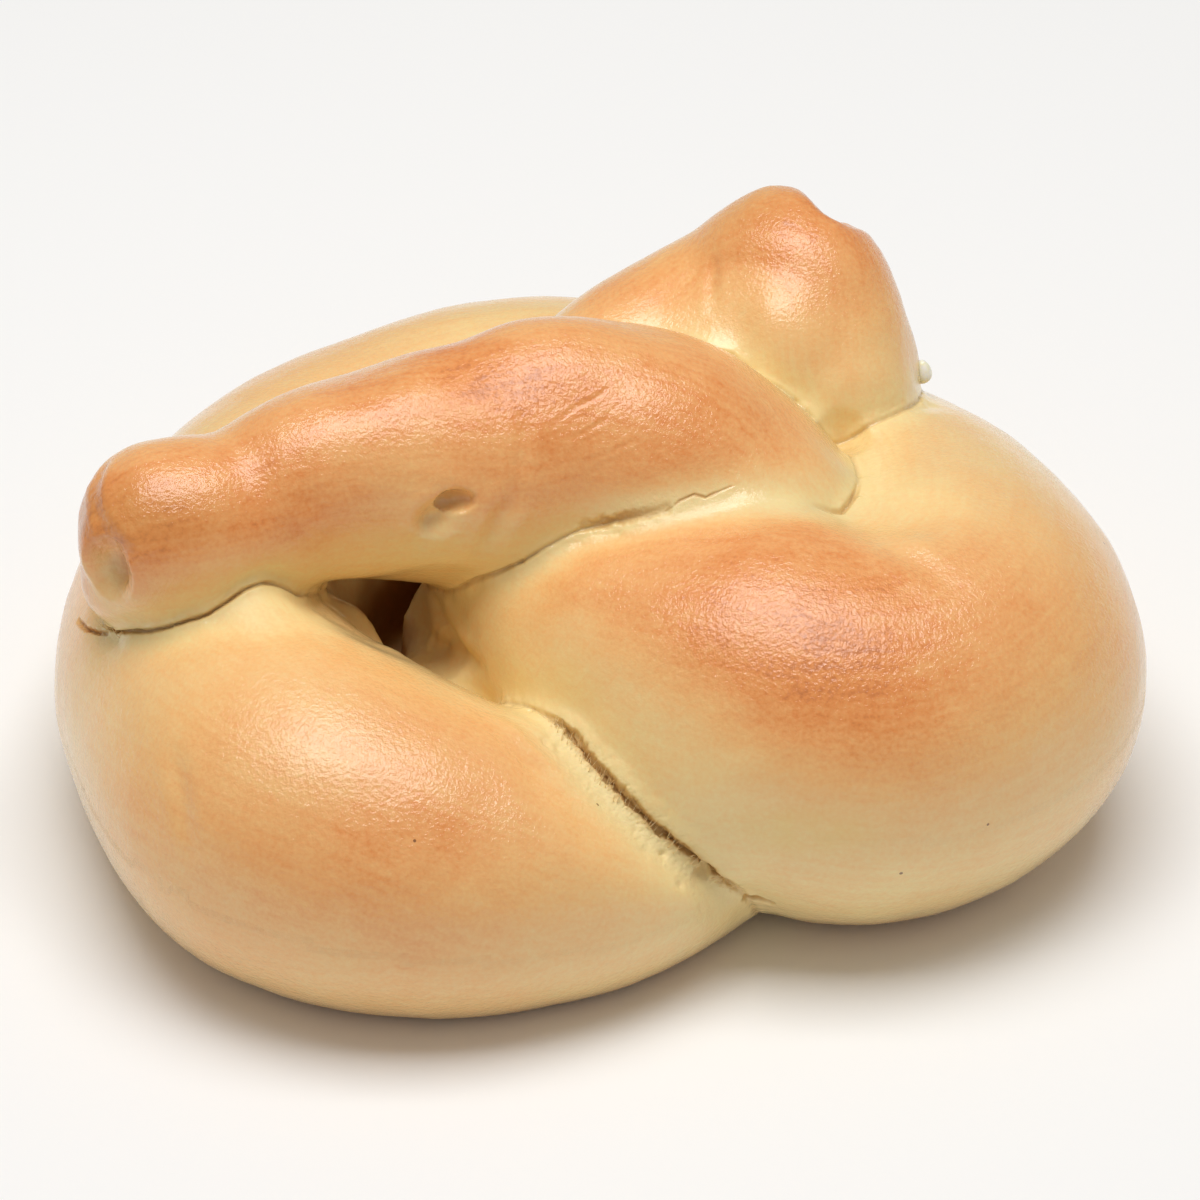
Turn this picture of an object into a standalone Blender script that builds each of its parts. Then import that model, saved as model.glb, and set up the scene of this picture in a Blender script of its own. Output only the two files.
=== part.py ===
"""Brioche knot: one rope of enriched dough, laid in a figure of eight and baked in one piece.

Metres, +Z up. The knot rests on the plane z = 0 with its longest side along X.
The rope starts at the left tip, crosses the top, dives at the right, comes round the
front, the left and the back, loops back over itself at the right and ends in a knob.
"""
import math

import bmesh
import bpy
import numpy as np
from mathutils import Matrix, Vector

MM = 0.001

# Stations of the rope, in millimetres: x, y, height of the centre, half width, half height.
TIP_AND_TOP_RUN = (
    (-44.8, -13.0, 37.6, 9.4, 9.8),
    (-41.0, -12.0, 37.8, 9.4, 9.7),
    (-36.0, -10.0, 37.9, 8.9, 9.0),
    (-30.0, -7.2, 39.6, 9.5, 10.0),
    (-21.5, -4.2, 39.6, 11.1, 12.0),
    (-12.5, -2.0, 38.6, 12.4, 13.0),
    (-4.0, 0.9, 38.6, 13.1, 13.4),
    (4.0, 1.4, 37.0, 13.9, 13.8),
)
DIVE_UNDER_THE_LOOP = (
    (10.0, 0.6, 32.8, 14.4, 14.0),
    (15.5, -2.5, 26.7, 14.3, 14.6),
    (17.8, -5.0, 19.3, 13.7, 13.8),
    (17.5, -11.0, 12.0, 13.0, 13.0),
    (10.5, -20.5, 10.0, 13.0, 12.5),
)
FRONT_LEFT_LOBE = (
    (1.2, -30.2, 10.8, 14.3, 13.4),
    (-9.7, -34.2, 12.3, 16.3, 15.2),
    (-20.5, -34.0, 14.2, 18.2, 17.3),
    (-31.0, -28.7, 15.6, 19.0, 18.3),
    (-38.6, -15.0, 15.0, 17.0, 17.6),
)
LEFT_AND_BACK_RING = (
    (-41.3, -1.0, 14.0, 15.7, 16.8),
    (-36.2, 14.2, 14.5, 16.0, 17.7),
    (-25.8, 25.6, 14.5, 16.2, 17.8),
    (-10.0, 32.8, 14.5, 16.8, 18.5),
    (9.0, 31.5, 14.5, 17.5, 18.2),
    (22.6, 21.3, 15.0, 18.1, 17.5),
)
RIGHT_LOBE = (
    (32.3, 6.6, 17.0, 19.6, 19.4),
    (34.7, -10.4, 18.3, 22.0, 20.7),
    (26.0, -19.4, 18.7, 21.3, 20.7),
    (14.0, -17.6, 21.5, 20.0, 19.8),
    (4.0, -13.0, 22.8, 16.0, 15.8),
)
CLIMB_AND_KNOB = (
    (-4.2, -4.8, 23.5, 12.3, 11.8),
    (-7.0, 6.0, 23.5, 11.0, 11.0),
    (-5.0, 14.5, 28.7, 10.5, 10.5),
    (3.5, 21.8, 33.4, 10.2, 10.2),
    (10.0, 25.4, 35.6, 10.2, 10.4),
    (15.5, 26.8, 38.4, 9.8, 10.4),
    (20.2, 26.6, 41.4, 9.6, 11.2),
    (22.8, 22.4, 37.8, 10.0, 10.6),
    (24.0, 17.6, 34.2, 9.6, 9.6),
)
ROPE_STATIONS = (
    TIP_AND_TOP_RUN
    + DIVE_UNDER_THE_LOOP
    + FRONT_LEFT_LOBE
    + LEFT_AND_BACK_RING
    + RIGHT_LOBE
    + CLIMB_AND_KNOB
)

# Dough that has baked together inside the ring: centre and radii, in millimetres.
INNER_DOUGH = (
    ((-3.0, 1.0, 2.5), (32.0, 27.0, 8.0)),
    ((-4.0, -6.0, 5.0), (16.0, 14.0, 9.0)),
    ((5.0, 9.0, 14.0), (14.0, 12.0, 12.0)),
    ((10.5, 18.0, 28.0), (14.0, 10.0, 14.0)),
    ((-14.0, -12.0, 11.0), (12.0, 8.0, 10.0)),
    ((-13.0, -4.0, 17.0), (8.0, 6.0, 11.0)),
    ((-28.3, -13.0, 19.5), (8.0, 6.5, 9.3)),
)

# Where a hand pressed or pulled the dough: centre, radii, direction, distance, edge.
# A small edge number ends the dip abruptly and a large one lets it fade out.
PUSHES = (
    ((-26.0, -19.5, 29.5), (12.0, 6.0, 4.5), (-0.20, 0.10, -1.00), 1.0, 2.0),
    ((-28.0, -14.3, 27.0), (9.0, 5.0, 5.5), (0.00, 0.30, -1.00), 3.2, 1.5),
    ((-34.6, -19.0, 34.0), (4.8, 5.0, 5.0), (0.00, 0.10, 1.00), 2.1, 1.2),
    ((-27.5, -14.5, 26.5), (7.0, 4.5, 4.0), (0.00, 0.60, 1.00), 1.2, 1.5),
    ((-50.5, -14.5, 31.0), (6.0, 7.0, 6.0), (-0.75, -0.10, -0.80), 1.8, 2.0),
    ((-49.9, -19.4, 38.2), (3.8, 4.4, 4.4), (1.00, 0.75, 0.10), 3.0, 1.7),
    ((-14.8, -13.2, 41.7), (2.5, 4.5, 1.7), (-0.10, 1.00, -0.35), 1.5, 0.7),
    ((-16.6, -14.0, 40.2), (3.4, 4.5, 2.8), (-0.10, 1.00, -0.35), 1.0, 2.0),
    ((16.0, 17.0, 41.0), (11.0, 9.0, 9.0), (0.00, -0.80, 0.60), 3.4, 1.6),
    ((26.0, 32.0, 52.0), (6.0, 8.0, 6.5), (-0.20, -0.30, -1.00), 2.7, 2.0),
    ((24.2, 31.5, 49.0), (2.2, 8.0, 4.5), (-0.20, -0.45, -0.87), 1.5, 1.0),
    ((18.8, 31.0, 51.0), (6.0, 8.0, 6.0), (0.10, 0.30, 0.90), 0.8, 1.5),
    ((32.5, 22.0, 35.0), (5.0, 6.0, 6.0), (1.00, 0.00, -0.20), 0.8, 2.0),
    ((-25.0, 0.0, 50.5), (8.0, 10.0, 7.0), (0.00, 0.30, -1.00), 1.3, 2.0),
    ((-6.5, 2.0, 51.5), (13.0, 10.0, 7.0), (0.00, 0.20, 1.00), 1.2, 2.0),
    ((28.8, -11.5, 39.5), (6.0, 5.0, 5.0), (0.20, 0.40, -1.00), 2.0, 1.5),
    ((3.5, -36.5, 20.0), (17.0, 10.0, 14.0), (-0.60, -0.35, -0.65), 2.8, 1.5),
)

STEP_ALONG_ROPE = 1.0 * MM
SIDES_OF_ROPE = 40
END_CAP_RINGS = 7
END_CAP_LENGTH = 0.9
BLEND_VOXEL = 1.1 * MM
SMOOTHING = 0.5
SMOOTHING_PASSES = 4
TRIANGLES_KEPT = 9000
BASE_PLANE = 0.0
CUTTER_MARGIN = 20.0 * MM
CUTTER_DEPTH = 30.0 * MM
CRUST_COLOUR = (0.604, 0.275, 0.102, 1.0)
CRUST_ROUGHNESS = 0.42


def clear_scene():
    for thing in list(bpy.data.objects):
        bpy.data.objects.remove(thing)


def make_collection(name):
    group = bpy.data.collections.new(name)
    bpy.context.scene.collection.children.link(group)
    return group


def spline_through(stations, step):
    """Even-paced Catmull-Rom samples through every column of the stations."""
    known = np.array(stations) * MM
    known = np.vstack([2 * known[0] - known[1], known, 2 * known[-1] - known[-2]])
    samples = []
    for i in range(1, len(known) - 2):
        a, b, c, d = known[i - 1 : i + 3]
        count = max(2, round(float(np.linalg.norm(c[:3] - b[:3])) / step))
        t = (np.arange(count) / count)[:, None]
        samples.append(
            0.5 * (2 * b + (c - a) * t + (2 * a - 5 * b + 4 * c - d) * t**2
                   + (3 * b - 3 * c + d - a) * t**3)
        )
    samples.append(known[-2][None, :])
    return np.vstack(samples)


def rope_frames(centres):
    """Direction, side and upward vectors along the rope, turning without a twist."""
    along = np.gradient(centres, axis=0)
    along /= np.linalg.norm(along, axis=1)[:, None]
    upright = np.array([0.0, 0.0, 1.0])
    ups = []
    up = None
    for t in along:
        level = upright - (upright @ t) * t
        steepness = np.linalg.norm(level)
        if up is None:
            up = level / steepness
        up = up - (up @ t) * t
        up /= np.linalg.norm(up)
        if steepness > 0.05:
            pull = 0.3 * min(1.0, max(0.0, (steepness - 0.35) / 0.4))
            up = (1 - pull) * up + pull * level / steepness
            up -= (up @ t) * t
            up /= np.linalg.norm(up)
        ups.append(up)
    ups = np.array(ups)
    return along, np.cross(along, ups), ups


def rope_rings():
    """Rings of the rope from tip to knob, with rounded ends."""
    path = spline_through(ROPE_STATIONS, STEP_ALONG_ROPE)
    centres = path[:, :3]
    along, side, up = rope_frames(centres)
    angle = np.linspace(0.0, 2.0 * math.pi, SIDES_OF_ROPE, endpoint=False)

    def ring(i, shift, scale):
        across = np.outer(np.cos(angle) * path[i, 3] * scale, side[i])
        upward = np.outer(np.sin(angle) * path[i, 4] * scale, up[i])
        return centres[i] + along[i] * shift + across + upward

    rings = []
    last = len(path) - 1
    for k in range(1, END_CAP_RINGS):
        phi = 0.5 * math.pi * (1 - k / END_CAP_RINGS)
        rings.append(ring(0, -path[0, 3] * END_CAP_LENGTH * math.sin(phi), math.cos(phi)))
    for i in range(len(path)):
        rings.append(ring(i, 0.0, 1.0))
    for k in range(1, END_CAP_RINGS):
        phi = 0.5 * math.pi * k / END_CAP_RINGS
        rings.append(ring(last, path[last, 3] * END_CAP_LENGTH * math.sin(phi), math.cos(phi)))
    poles = (
        centres[0] - along[0] * path[0, 3] * END_CAP_LENGTH,
        centres[last] + along[last] * path[last, 3] * END_CAP_LENGTH,
    )
    return rings, poles


def add_rope(bm):
    rings, poles = rope_rings()
    loops = [[bm.verts.new(Vector(p)) for p in ring] for ring in rings]
    first = bm.verts.new(Vector(poles[0]))
    final = bm.verts.new(Vector(poles[1]))
    for lower, upper in zip(loops, loops[1:]):
        for j in range(SIDES_OF_ROPE):
            k = (j + 1) % SIDES_OF_ROPE
            bm.faces.new((lower[j], lower[k], upper[k], upper[j]))
    for j in range(SIDES_OF_ROPE):
        k = (j + 1) % SIDES_OF_ROPE
        bm.faces.new((first, loops[0][k], loops[0][j]))
        bm.faces.new((final, loops[-1][j], loops[-1][k]))


def add_inner_dough(bm):
    for centre, radii in INNER_DOUGH:
        made = bmesh.ops.create_icosphere(bm, subdivisions=4, radius=1.0)
        for vert in made["verts"]:
            vert.co = Vector([(vert.co[n] * radii[n] + centre[n]) * MM for n in range(3)])


def blended_dough():
    """One watertight skin round the rope and the dough inside the ring."""
    bm = bmesh.new()
    add_rope(bm)
    add_inner_dough(bm)
    bmesh.ops.recalc_face_normals(bm, faces=bm.faces)
    mesh = bpy.data.meshes.new("rope_of_dough")
    bm.to_mesh(mesh)
    bm.free()
    draft = bpy.data.objects.new("rope_of_dough", mesh)
    bpy.context.scene.collection.objects.link(draft)
    blend = draft.modifiers.new("Baked together", "REMESH")
    blend.mode = "VOXEL"
    blend.voxel_size = BLEND_VOXEL
    soften = draft.modifiers.new("Risen skin", "SMOOTH")
    soften.factor = SMOOTHING
    soften.iterations = SMOOTHING_PASSES
    graph = bpy.context.evaluated_depsgraph_get()
    skin = bpy.data.meshes.new_from_object(draft.evaluated_get(graph))
    bpy.data.objects.remove(draft)
    bpy.data.meshes.remove(mesh)
    return skin


def push_and_pull(mesh):
    points = np.empty(len(mesh.vertices) * 3)
    mesh.vertices.foreach_get("co", points)
    points = points.reshape(-1, 3)
    for centre, radii, direction, distance, edge in PUSHES:
        reach = (points - np.array(centre) * MM) / (np.array(radii) * MM)
        weight = np.clip(1.0 - (reach**2).sum(axis=1), 0.0, None) ** edge
        towards = np.array(direction) / np.linalg.norm(direction)
        points = points + weight[:, None] * towards * distance * MM
    mesh.vertices.foreach_set("co", points.ravel())
    mesh.update()


def base_cutter(group, knot):
    """Block below the tray, which gives the knot its flat base."""
    corners = [Vector(c) for c in knot.bound_box]
    half = max(max(abs(c.x), abs(c.y)) for c in corners) + CUTTER_MARGIN
    bm = bmesh.new()
    bmesh.ops.create_cube(bm, size=1.0)
    for vert in bm.verts:
        top = BASE_PLANE if vert.co.z > 0 else BASE_PLANE - CUTTER_DEPTH
        vert.co = Vector((vert.co.x * 2 * half, vert.co.y * 2 * half, top))
    mesh = bpy.data.meshes.new("tray_block")
    bm.to_mesh(mesh)
    bm.free()
    block = bpy.data.objects.new("tray_block", mesh)
    block.hide_render = True
    block.display_type = "WIRE"
    group.objects.link(block)
    return block


def centre_over_origin(knot):
    """Slides the dough so that its finished box is centred over the origin."""
    graph = bpy.context.evaluated_depsgraph_get()
    finished = bpy.data.meshes.new_from_object(knot.evaluated_get(graph))
    points = np.empty(len(finished.vertices) * 3)
    finished.vertices.foreach_get("co", points)
    bpy.data.meshes.remove(finished)
    points = points.reshape(-1, 3)
    middle = 0.5 * (points.min(axis=0) + points.max(axis=0))
    knot.data.transform(Matrix.Translation((-middle[0], -middle[1], 0.0)))


def crust_material():
    crust = bpy.data.materials.new("brioche_crust")
    crust.use_nodes = True
    shader = crust.node_tree.nodes["Principled BSDF"]
    shader.inputs["Base Color"].default_value = CRUST_COLOUR
    shader.inputs["Roughness"].default_value = CRUST_ROUGHNESS
    return crust


def build():
    clear_scene()
    part_group = make_collection("brioche_knot")
    cutter_group = make_collection("cutters")

    dough = blended_dough()
    push_and_pull(dough)
    dough.name = "brioche_knot"
    knot = bpy.data.objects.new("brioche_knot", dough)
    part_group.objects.link(knot)
    knot.data.materials.append(crust_material())

    triangles = sum(len(face.vertices) - 2 for face in dough.polygons)
    facets = knot.modifiers.new("Facets", "DECIMATE")
    facets.ratio = TRIANGLES_KEPT / triangles
    flat = knot.modifiers.new("Flat base", "BOOLEAN")
    flat.operation = "DIFFERENCE"
    flat.solver = "EXACT"
    flat.object = base_cutter(cutter_group, knot)
    centre_over_origin(knot)


build()
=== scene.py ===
"""Brioche knot, egg-washed and baked in one piece, and the studio it is shown in.

Laid out as a Blender add-on and run as a script. One rope of dough is lofted along the
stations of a figure-of-eight knot and baked together with a voxel remesh. The skin is then
worked like a sculpt: hollows, creases, torn seams, pores and the uneven rise all move the
mesh. Sculpting is done in millimetres in the frame of the stations, and the finished mesh
is turned to metres over the frame's own box.
"""

import math

import bmesh
import bpy
import numpy as np
from bpy.props import FloatProperty, FloatVectorProperty, IntProperty, PointerProperty
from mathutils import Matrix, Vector, noise
from mathutils.bvhtree import BVHTree


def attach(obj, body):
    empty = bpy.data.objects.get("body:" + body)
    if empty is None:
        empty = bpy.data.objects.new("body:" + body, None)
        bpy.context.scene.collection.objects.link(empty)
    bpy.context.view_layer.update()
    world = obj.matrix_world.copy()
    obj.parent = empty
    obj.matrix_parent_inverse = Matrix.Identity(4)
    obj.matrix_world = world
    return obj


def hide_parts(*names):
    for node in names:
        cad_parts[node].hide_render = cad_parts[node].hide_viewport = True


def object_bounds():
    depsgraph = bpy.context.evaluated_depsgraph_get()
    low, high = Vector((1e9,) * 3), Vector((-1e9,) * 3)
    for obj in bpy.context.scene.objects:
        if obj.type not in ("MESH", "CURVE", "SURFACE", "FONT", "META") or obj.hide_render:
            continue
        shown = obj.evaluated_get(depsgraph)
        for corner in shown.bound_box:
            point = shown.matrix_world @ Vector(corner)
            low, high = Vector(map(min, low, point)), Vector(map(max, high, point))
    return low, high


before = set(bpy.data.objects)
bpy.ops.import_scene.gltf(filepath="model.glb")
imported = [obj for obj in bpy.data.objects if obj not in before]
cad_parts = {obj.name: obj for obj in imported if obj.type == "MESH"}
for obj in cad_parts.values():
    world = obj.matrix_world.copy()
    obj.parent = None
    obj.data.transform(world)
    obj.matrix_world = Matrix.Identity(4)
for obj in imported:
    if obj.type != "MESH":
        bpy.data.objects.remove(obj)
CAD_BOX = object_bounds()

bl_info = {
    "name": "Brioche Knot",
    "version": (1, 0, 0),
    "blender": (4, 5, 0),
    "location": "View3D > Sidebar > Brioche",
    "description": "Builds an egg-washed brioche knot and a small studio for it",
    "category": "Add Mesh",
}

MM = 0.001
NODE = "brioche_knot"
BODY = "root"

# ---------------------------------------------------------------------------
# The rope, in millimetres: x, y, height of the centre, half width, half height.
# ---------------------------------------------------------------------------
TIP_AND_TOP_RUN = (
    (-44.8, -13.0, 37.6, 9.4, 9.8),
    (-41.0, -12.0, 37.8, 9.4, 9.7),
    (-36.0, -10.0, 37.9, 8.9, 9.0),
    (-30.0, -7.2, 39.6, 9.5, 10.0),
    (-21.5, -4.2, 39.6, 11.1, 12.0),
    (-12.5, -2.0, 38.6, 12.4, 13.0),
    (-4.0, 0.9, 38.6, 13.1, 13.4),
    (4.0, 1.4, 37.0, 13.9, 13.8),
)
DIVE_UNDER_THE_LOOP = (
    (10.0, 0.6, 32.8, 14.4, 14.0),
    (15.5, -2.5, 26.7, 14.3, 14.6),
    (17.8, -5.0, 19.3, 13.7, 13.8),
    (17.5, -11.0, 12.0, 13.0, 13.0),
    (10.5, -20.5, 10.0, 13.0, 12.5),
)
FRONT_LEFT_LOBE = (
    (1.2, -30.2, 10.8, 14.3, 13.4),
    (-9.7, -34.2, 12.3, 16.3, 15.2),
    (-20.5, -34.0, 14.2, 18.2, 17.3),
    (-31.0, -28.7, 15.6, 19.0, 18.3),
    (-38.6, -15.0, 15.0, 17.0, 17.6),
)
LEFT_AND_BACK_RING = (
    (-41.3, -1.0, 14.0, 15.7, 16.8),
    (-36.2, 14.2, 14.5, 16.0, 17.7),
    (-25.8, 25.6, 14.5, 16.2, 17.8),
    (-10.0, 32.8, 14.5, 16.8, 18.5),
    (9.0, 31.5, 14.5, 17.5, 18.2),
    (22.6, 21.3, 15.0, 18.1, 17.5),
)
RIGHT_LOBE = (
    (32.3, 6.6, 17.0, 19.6, 19.4),
    (34.7, -10.4, 18.3, 22.0, 20.7),
    (26.0, -19.4, 18.7, 21.3, 20.7),
    (14.0, -17.6, 21.5, 20.0, 19.8),
    (4.0, -13.0, 22.8, 16.0, 15.8),
)
CLIMB_AND_KNOB = (
    (-4.2, -4.8, 23.5, 12.3, 11.8),
    (-7.0, 6.0, 23.5, 11.0, 11.0),
    (-5.0, 14.5, 28.7, 10.5, 10.5),
    (3.5, 21.8, 33.4, 10.2, 10.2),
    (10.0, 25.4, 35.6, 10.2, 10.4),
    (15.5, 26.8, 38.4, 9.8, 10.4),
    (20.2, 26.6, 41.4, 9.6, 11.2),
    (22.8, 22.4, 37.8, 10.0, 10.6),
    (24.0, 17.6, 34.2, 9.6, 9.6),
)
ROPE_STATIONS = (
    TIP_AND_TOP_RUN
    + DIVE_UNDER_THE_LOOP
    + FRONT_LEFT_LOBE
    + LEFT_AND_BACK_RING
    + RIGHT_LOBE
    + CLIMB_AND_KNOB
)

# Dough that has baked together inside the ring: centre and radii, in millimetres.
INNER_DOUGH = (
    ((-3.0, 1.0, 2.5), (32.0, 27.0, 8.0)),
    ((-4.0, -6.0, 5.0), (16.0, 14.0, 9.0)),
    ((5.0, 9.0, 14.0), (14.0, 12.0, 12.0)),
    ((10.5, 18.0, 28.0), (14.0, 10.0, 14.0)),
    ((-14.0, -12.0, 11.0), (12.0, 8.0, 10.0)),
    ((-13.0, -4.0, 17.0), (8.0, 6.0, 11.0)),
    ((-28.3, -13.0, 19.5), (8.0, 6.5, 9.3)),
)

STEP_ALONG_ROPE = 1.0
SIDES_OF_ROPE = 40
END_CAP_RINGS = 7
# Length of a rounded end, as a multiple of the rope's half width there.
END_CAP_LENGTH = 0.9
# Places further apart than this along the rope belong to different folds.
RUN_APART = 50.0

# Profile across a seam, from the seam outwards. A lip, a slope or an overhang is given by
# its height, its distance from the seam and its half width.
NEAT_CREASE_DEPTH = 0.80
CREASE_HALF_WIDTH = 0.30
TORN_EXTRA_WIDTH = 0.14
TORN_EDGE_WANDER = 0.35
UPPER_LIP = (0.22, 1.4, 0.8)
LOWER_SLOPE = (0.85, 1.6, 2.4)
OVERHANG = (0.25, 0.7, 0.9)
# Streaks of torn dough: how much of their length is drawn out across the seam, their
# width, their height, and what is added to the height on the lower side.
STREAK_DRAW = 0.88
STREAK_WIDTH = 0.5
STREAK_HEIGHT = 0.05
STREAK_HEIGHT_BELOW = 0.05
# Gas pores in the torn dough: spacing, radius as a share of it, depth, reach from the seam.
PORES = (2.6, 0.16, 0.45, 4.5)

# For each finer level of mesh: reach from a seam, extra reach where it tore, and reach
# from a drawn line as a multiple of its width.
FINE_REACH = ((1.3, 3.4, 2.4), (0.55, 2.2, 1.6), (0.0, 1.2, 1.2))

# Where a hand pressed or pulled the dough: centre, radii, direction, distance, edge.
# A small edge number ends the dip abruptly and a large one lets it fade out.
DIMPLE_IN_TIP = ((-49.3, -19.1, 38.0), (3.0, 4.4, 4.0), (0.75, 1.00, 0.10), 2.6, 1.4)
PIT_ON_TOP_RUN = ((-14.7, -13.2, 42.5), (2.2, 4.5, 1.4), (-0.10, 1.00, -0.35), 1.5, 0.7)
PUSHES = (
    # The neck of the front left lobe, beside the hollow, and its peak under the tip.
    ((-26.0, -19.5, 29.5), (12.0, 6.0, 4.5), (-0.20, 0.10, -1.00), 1.0, 2.0),
    ((-28.0, -14.3, 27.0), (9.0, 5.0, 5.5), (0.00, 0.30, -1.00), 3.2, 1.5),
    ((-34.6, -19.0, 34.0), (6.0, 6.0, 5.0), (0.00, 0.10, 1.00), 1.9, 1.8),
    ((-27.5, -14.5, 26.5), (7.0, 4.5, 4.0), (0.00, 0.60, 1.00), 1.2, 1.5),
    # The pocket behind the tip, and the marks in the tip and the top run.
    ((-50.5, -14.5, 31.0), (6.0, 7.0, 6.0), (-0.75, -0.10, -0.80), 1.8, 2.0),
    DIMPLE_IN_TIP,
    PIT_ON_TOP_RUN,
    ((-16.7, -14.0, 40.8), (3.1, 4.5, 2.8), (-0.10, 1.00, -0.35), 1.0, 2.0),
    # The neck of the knob, the notch in its top, the summit beside it and its flank.
    ((16.0, 17.0, 41.0), (11.0, 9.0, 9.0), (0.00, -0.80, 0.60), 3.4, 1.6),
    ((26.0, 32.0, 52.0), (6.0, 8.0, 6.5), (-0.20, -0.30, -1.00), 2.7, 2.0),
    ((24.2, 31.5, 49.0), (2.6, 7.0, 4.5), (-0.20, -0.45, -0.87), 1.3, 1.5),
    ((18.8, 31.0, 51.0), (6.0, 8.0, 6.0), (0.10, 0.30, 0.90), 0.8, 1.5),
    ((32.5, 22.0, 35.0), (5.0, 6.0, 6.0), (1.00, 0.00, -0.20), 0.8, 2.0),
    # The crown of the top run, the crest of the right lobe and the front of the left one.
    ((-25.0, 0.0, 50.5), (8.0, 10.0, 7.0), (0.00, 0.30, -1.00), 1.3, 2.0),
    ((-6.5, 2.0, 51.5), (13.0, 10.0, 7.0), (0.00, 0.20, 1.00), 1.2, 2.0),
    ((28.8, -11.0, 39.5), (10.0, 6.5, 6.0), (0.20, 0.40, -1.00), 1.3, 2.0),
    ((3.5, -36.5, 20.0), (17.0, 10.0, 14.0), (-0.60, -0.35, -0.65), 2.8, 1.5),
    # The skin outside the dimple.
    ((-51.4, -16.8, 38.8), (2.6, 3.6, 4.2), (-0.50, -0.85, 0.10), 1.0, 1.5),
    # The right wall of the hollow.
    ((-19.0, -6.3, 22.3), (2.7, 5.0, 3.8), (0.00, 0.81, -0.59), 3.0, 0.9),
    ((-16.4, -10.8, 20.9), (3.4, 4.0, 2.4), (0.00, 0.81, -0.59), 2.2, 0.9),
    # The corner where the top run, the knob and the right lobe meet.
    ((25.2, 7.0, 35.4), (3.2, 4.0, 3.5), (-0.10, 0.40, -0.90), 1.3, 1.3),
    # The top run over the hollow, and the hollow's left wall.
    ((-14.0, -12.0, 31.0), (9.0, 6.0, 6.0), (0.00, 0.20, 1.00), 0.9, 2.0),
    ((-26.5, -14.8, 34.0), (8.0, 5.0, 4.0), (0.00, 0.00, -1.00), 0.8, 1.5),
    ((-22.0, -11.5, 22.0), (5.0, 6.0, 7.0), (-1.00, 0.00, -0.20), 1.2, 1.5),
)
# Pushes whose rims need a finer mesh.
SHARP_PUSHES = (DIMPLE_IN_TIP, PIT_ON_TOP_RUN)

# Creases: points along the fold, half width, depth. A negative depth is a raised fold.
CREASES = (
    # Round the tip, and the rim of its dimple.
    (((-50.6, -11.0, 44.6), (-49.6, -16.5, 42.5), (-47.9, -20.8, 41.0)), 0.8, 0.8),
    (((-49.0, -18.0, 41.4), (-47.9, -19.0, 39.6), (-47.8, -19.4, 37.6), (-49.2, -19.6, 35.6)),
     0.6, 0.5),
    # Across the top run, below its pit, and three fine ones on its crown.
    (((-31.2, -5.0, 47.2), (-30.2, -11.0, 46.0), (-29.6, -15.1, 43.0)), 1.2, 0.50),
    (((-15.6, -12.8, 42.6), (-17.6, -13.8, 39.8), (-18.6, -13.9, 36.8)), 1.1, 0.60),
    (((-8.7, -13.6, 42.7), (-10.2, -14.4, 40.4), (-11.5, -14.4, 37.3), (-12.5, -14.0, 34.8)),
     1.0, 0.50),
    (((-7.8, -8.1, 48.6), (-8.2, -11.1, 45.0), (-8.9, -12.4, 41.0)), 0.8, 0.30),
    (((0.9, -4.6, 50.0), (-0.4, -5.7, 49.5), (-2.4, -6.7, 49.0), (-5.0, -8.6, 48.0)), 0.26, 0.09),
    (((1.9, -5.9, 49.0), (0.0, -7.8, 47.8), (-3.4, -9.3, 46.6)), 0.24, 0.07),
    (((3.9, -8.6, 46.6), (1.6, -9.6, 45.8), (-1.2, -10.4, 45.0)), 0.24, 0.06),
    # The crest of the right lobe.
    (((27.5, -15.4, 40.6), (30.5, -18.5, 40.4), (35.4, -22.8, 39.1)), 1.4, 0.40),
    (((30.0, -4.3, 39.0), (34.0, -6.6, 39.8), (37.6, -8.0, 39.7)), 0.35, 0.25),
    # The neck of the knob, and the notch in its top.
    (((12.0, 23.4, 47.8), (11.6, 20.6, 46.6), (11.9, 17.4, 44.9)), 0.7, 0.17),
    (((24.1, 33.5, 46.4), (24.0, 31.0, 47.8), (23.7, 28.6, 48.4), (23.2, 26.6, 48.4)), 0.8, 0.5),
    # The right wall of the hollow, the right lobe under the knob, and the far left flank.
    (((-17.6, -6.0, 25.4), (-16.9, -8.2, 23.4), (-14.6, -12.2, 22.2), (-12.2, -15.8, 23.0)),
     1.0, 0.8),
    (((25.6, 8.5, 34.2), (30.2, 12.0, 34.4), (34.5, 15.0, 34.6)), 1.4, 0.5),
    (((-42.6, -36.7, 28.3), (-41.7, -40.8, 25.7), (-40.9, -44.2, 21.6)), 1.1, 0.24),
    # Raised folds between the knob and the top run, and on the front left lobe.
    (((16.0, 15.5, 41.0), (18.5, 14.0, 39.0), (20.5, 12.5, 37.5)), 0.6, -0.5),
    (((18.0, 18.0, 41.0), (20.5, 16.4, 39.4), (22.0, 14.6, 38.2)), 0.6, -0.45),
    (((-9.5, -31.4, 28.4), (-7.0, -34.2, 27.6), (-3.6, -37.0, 25.4)), 1.1, -0.4),
)

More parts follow.
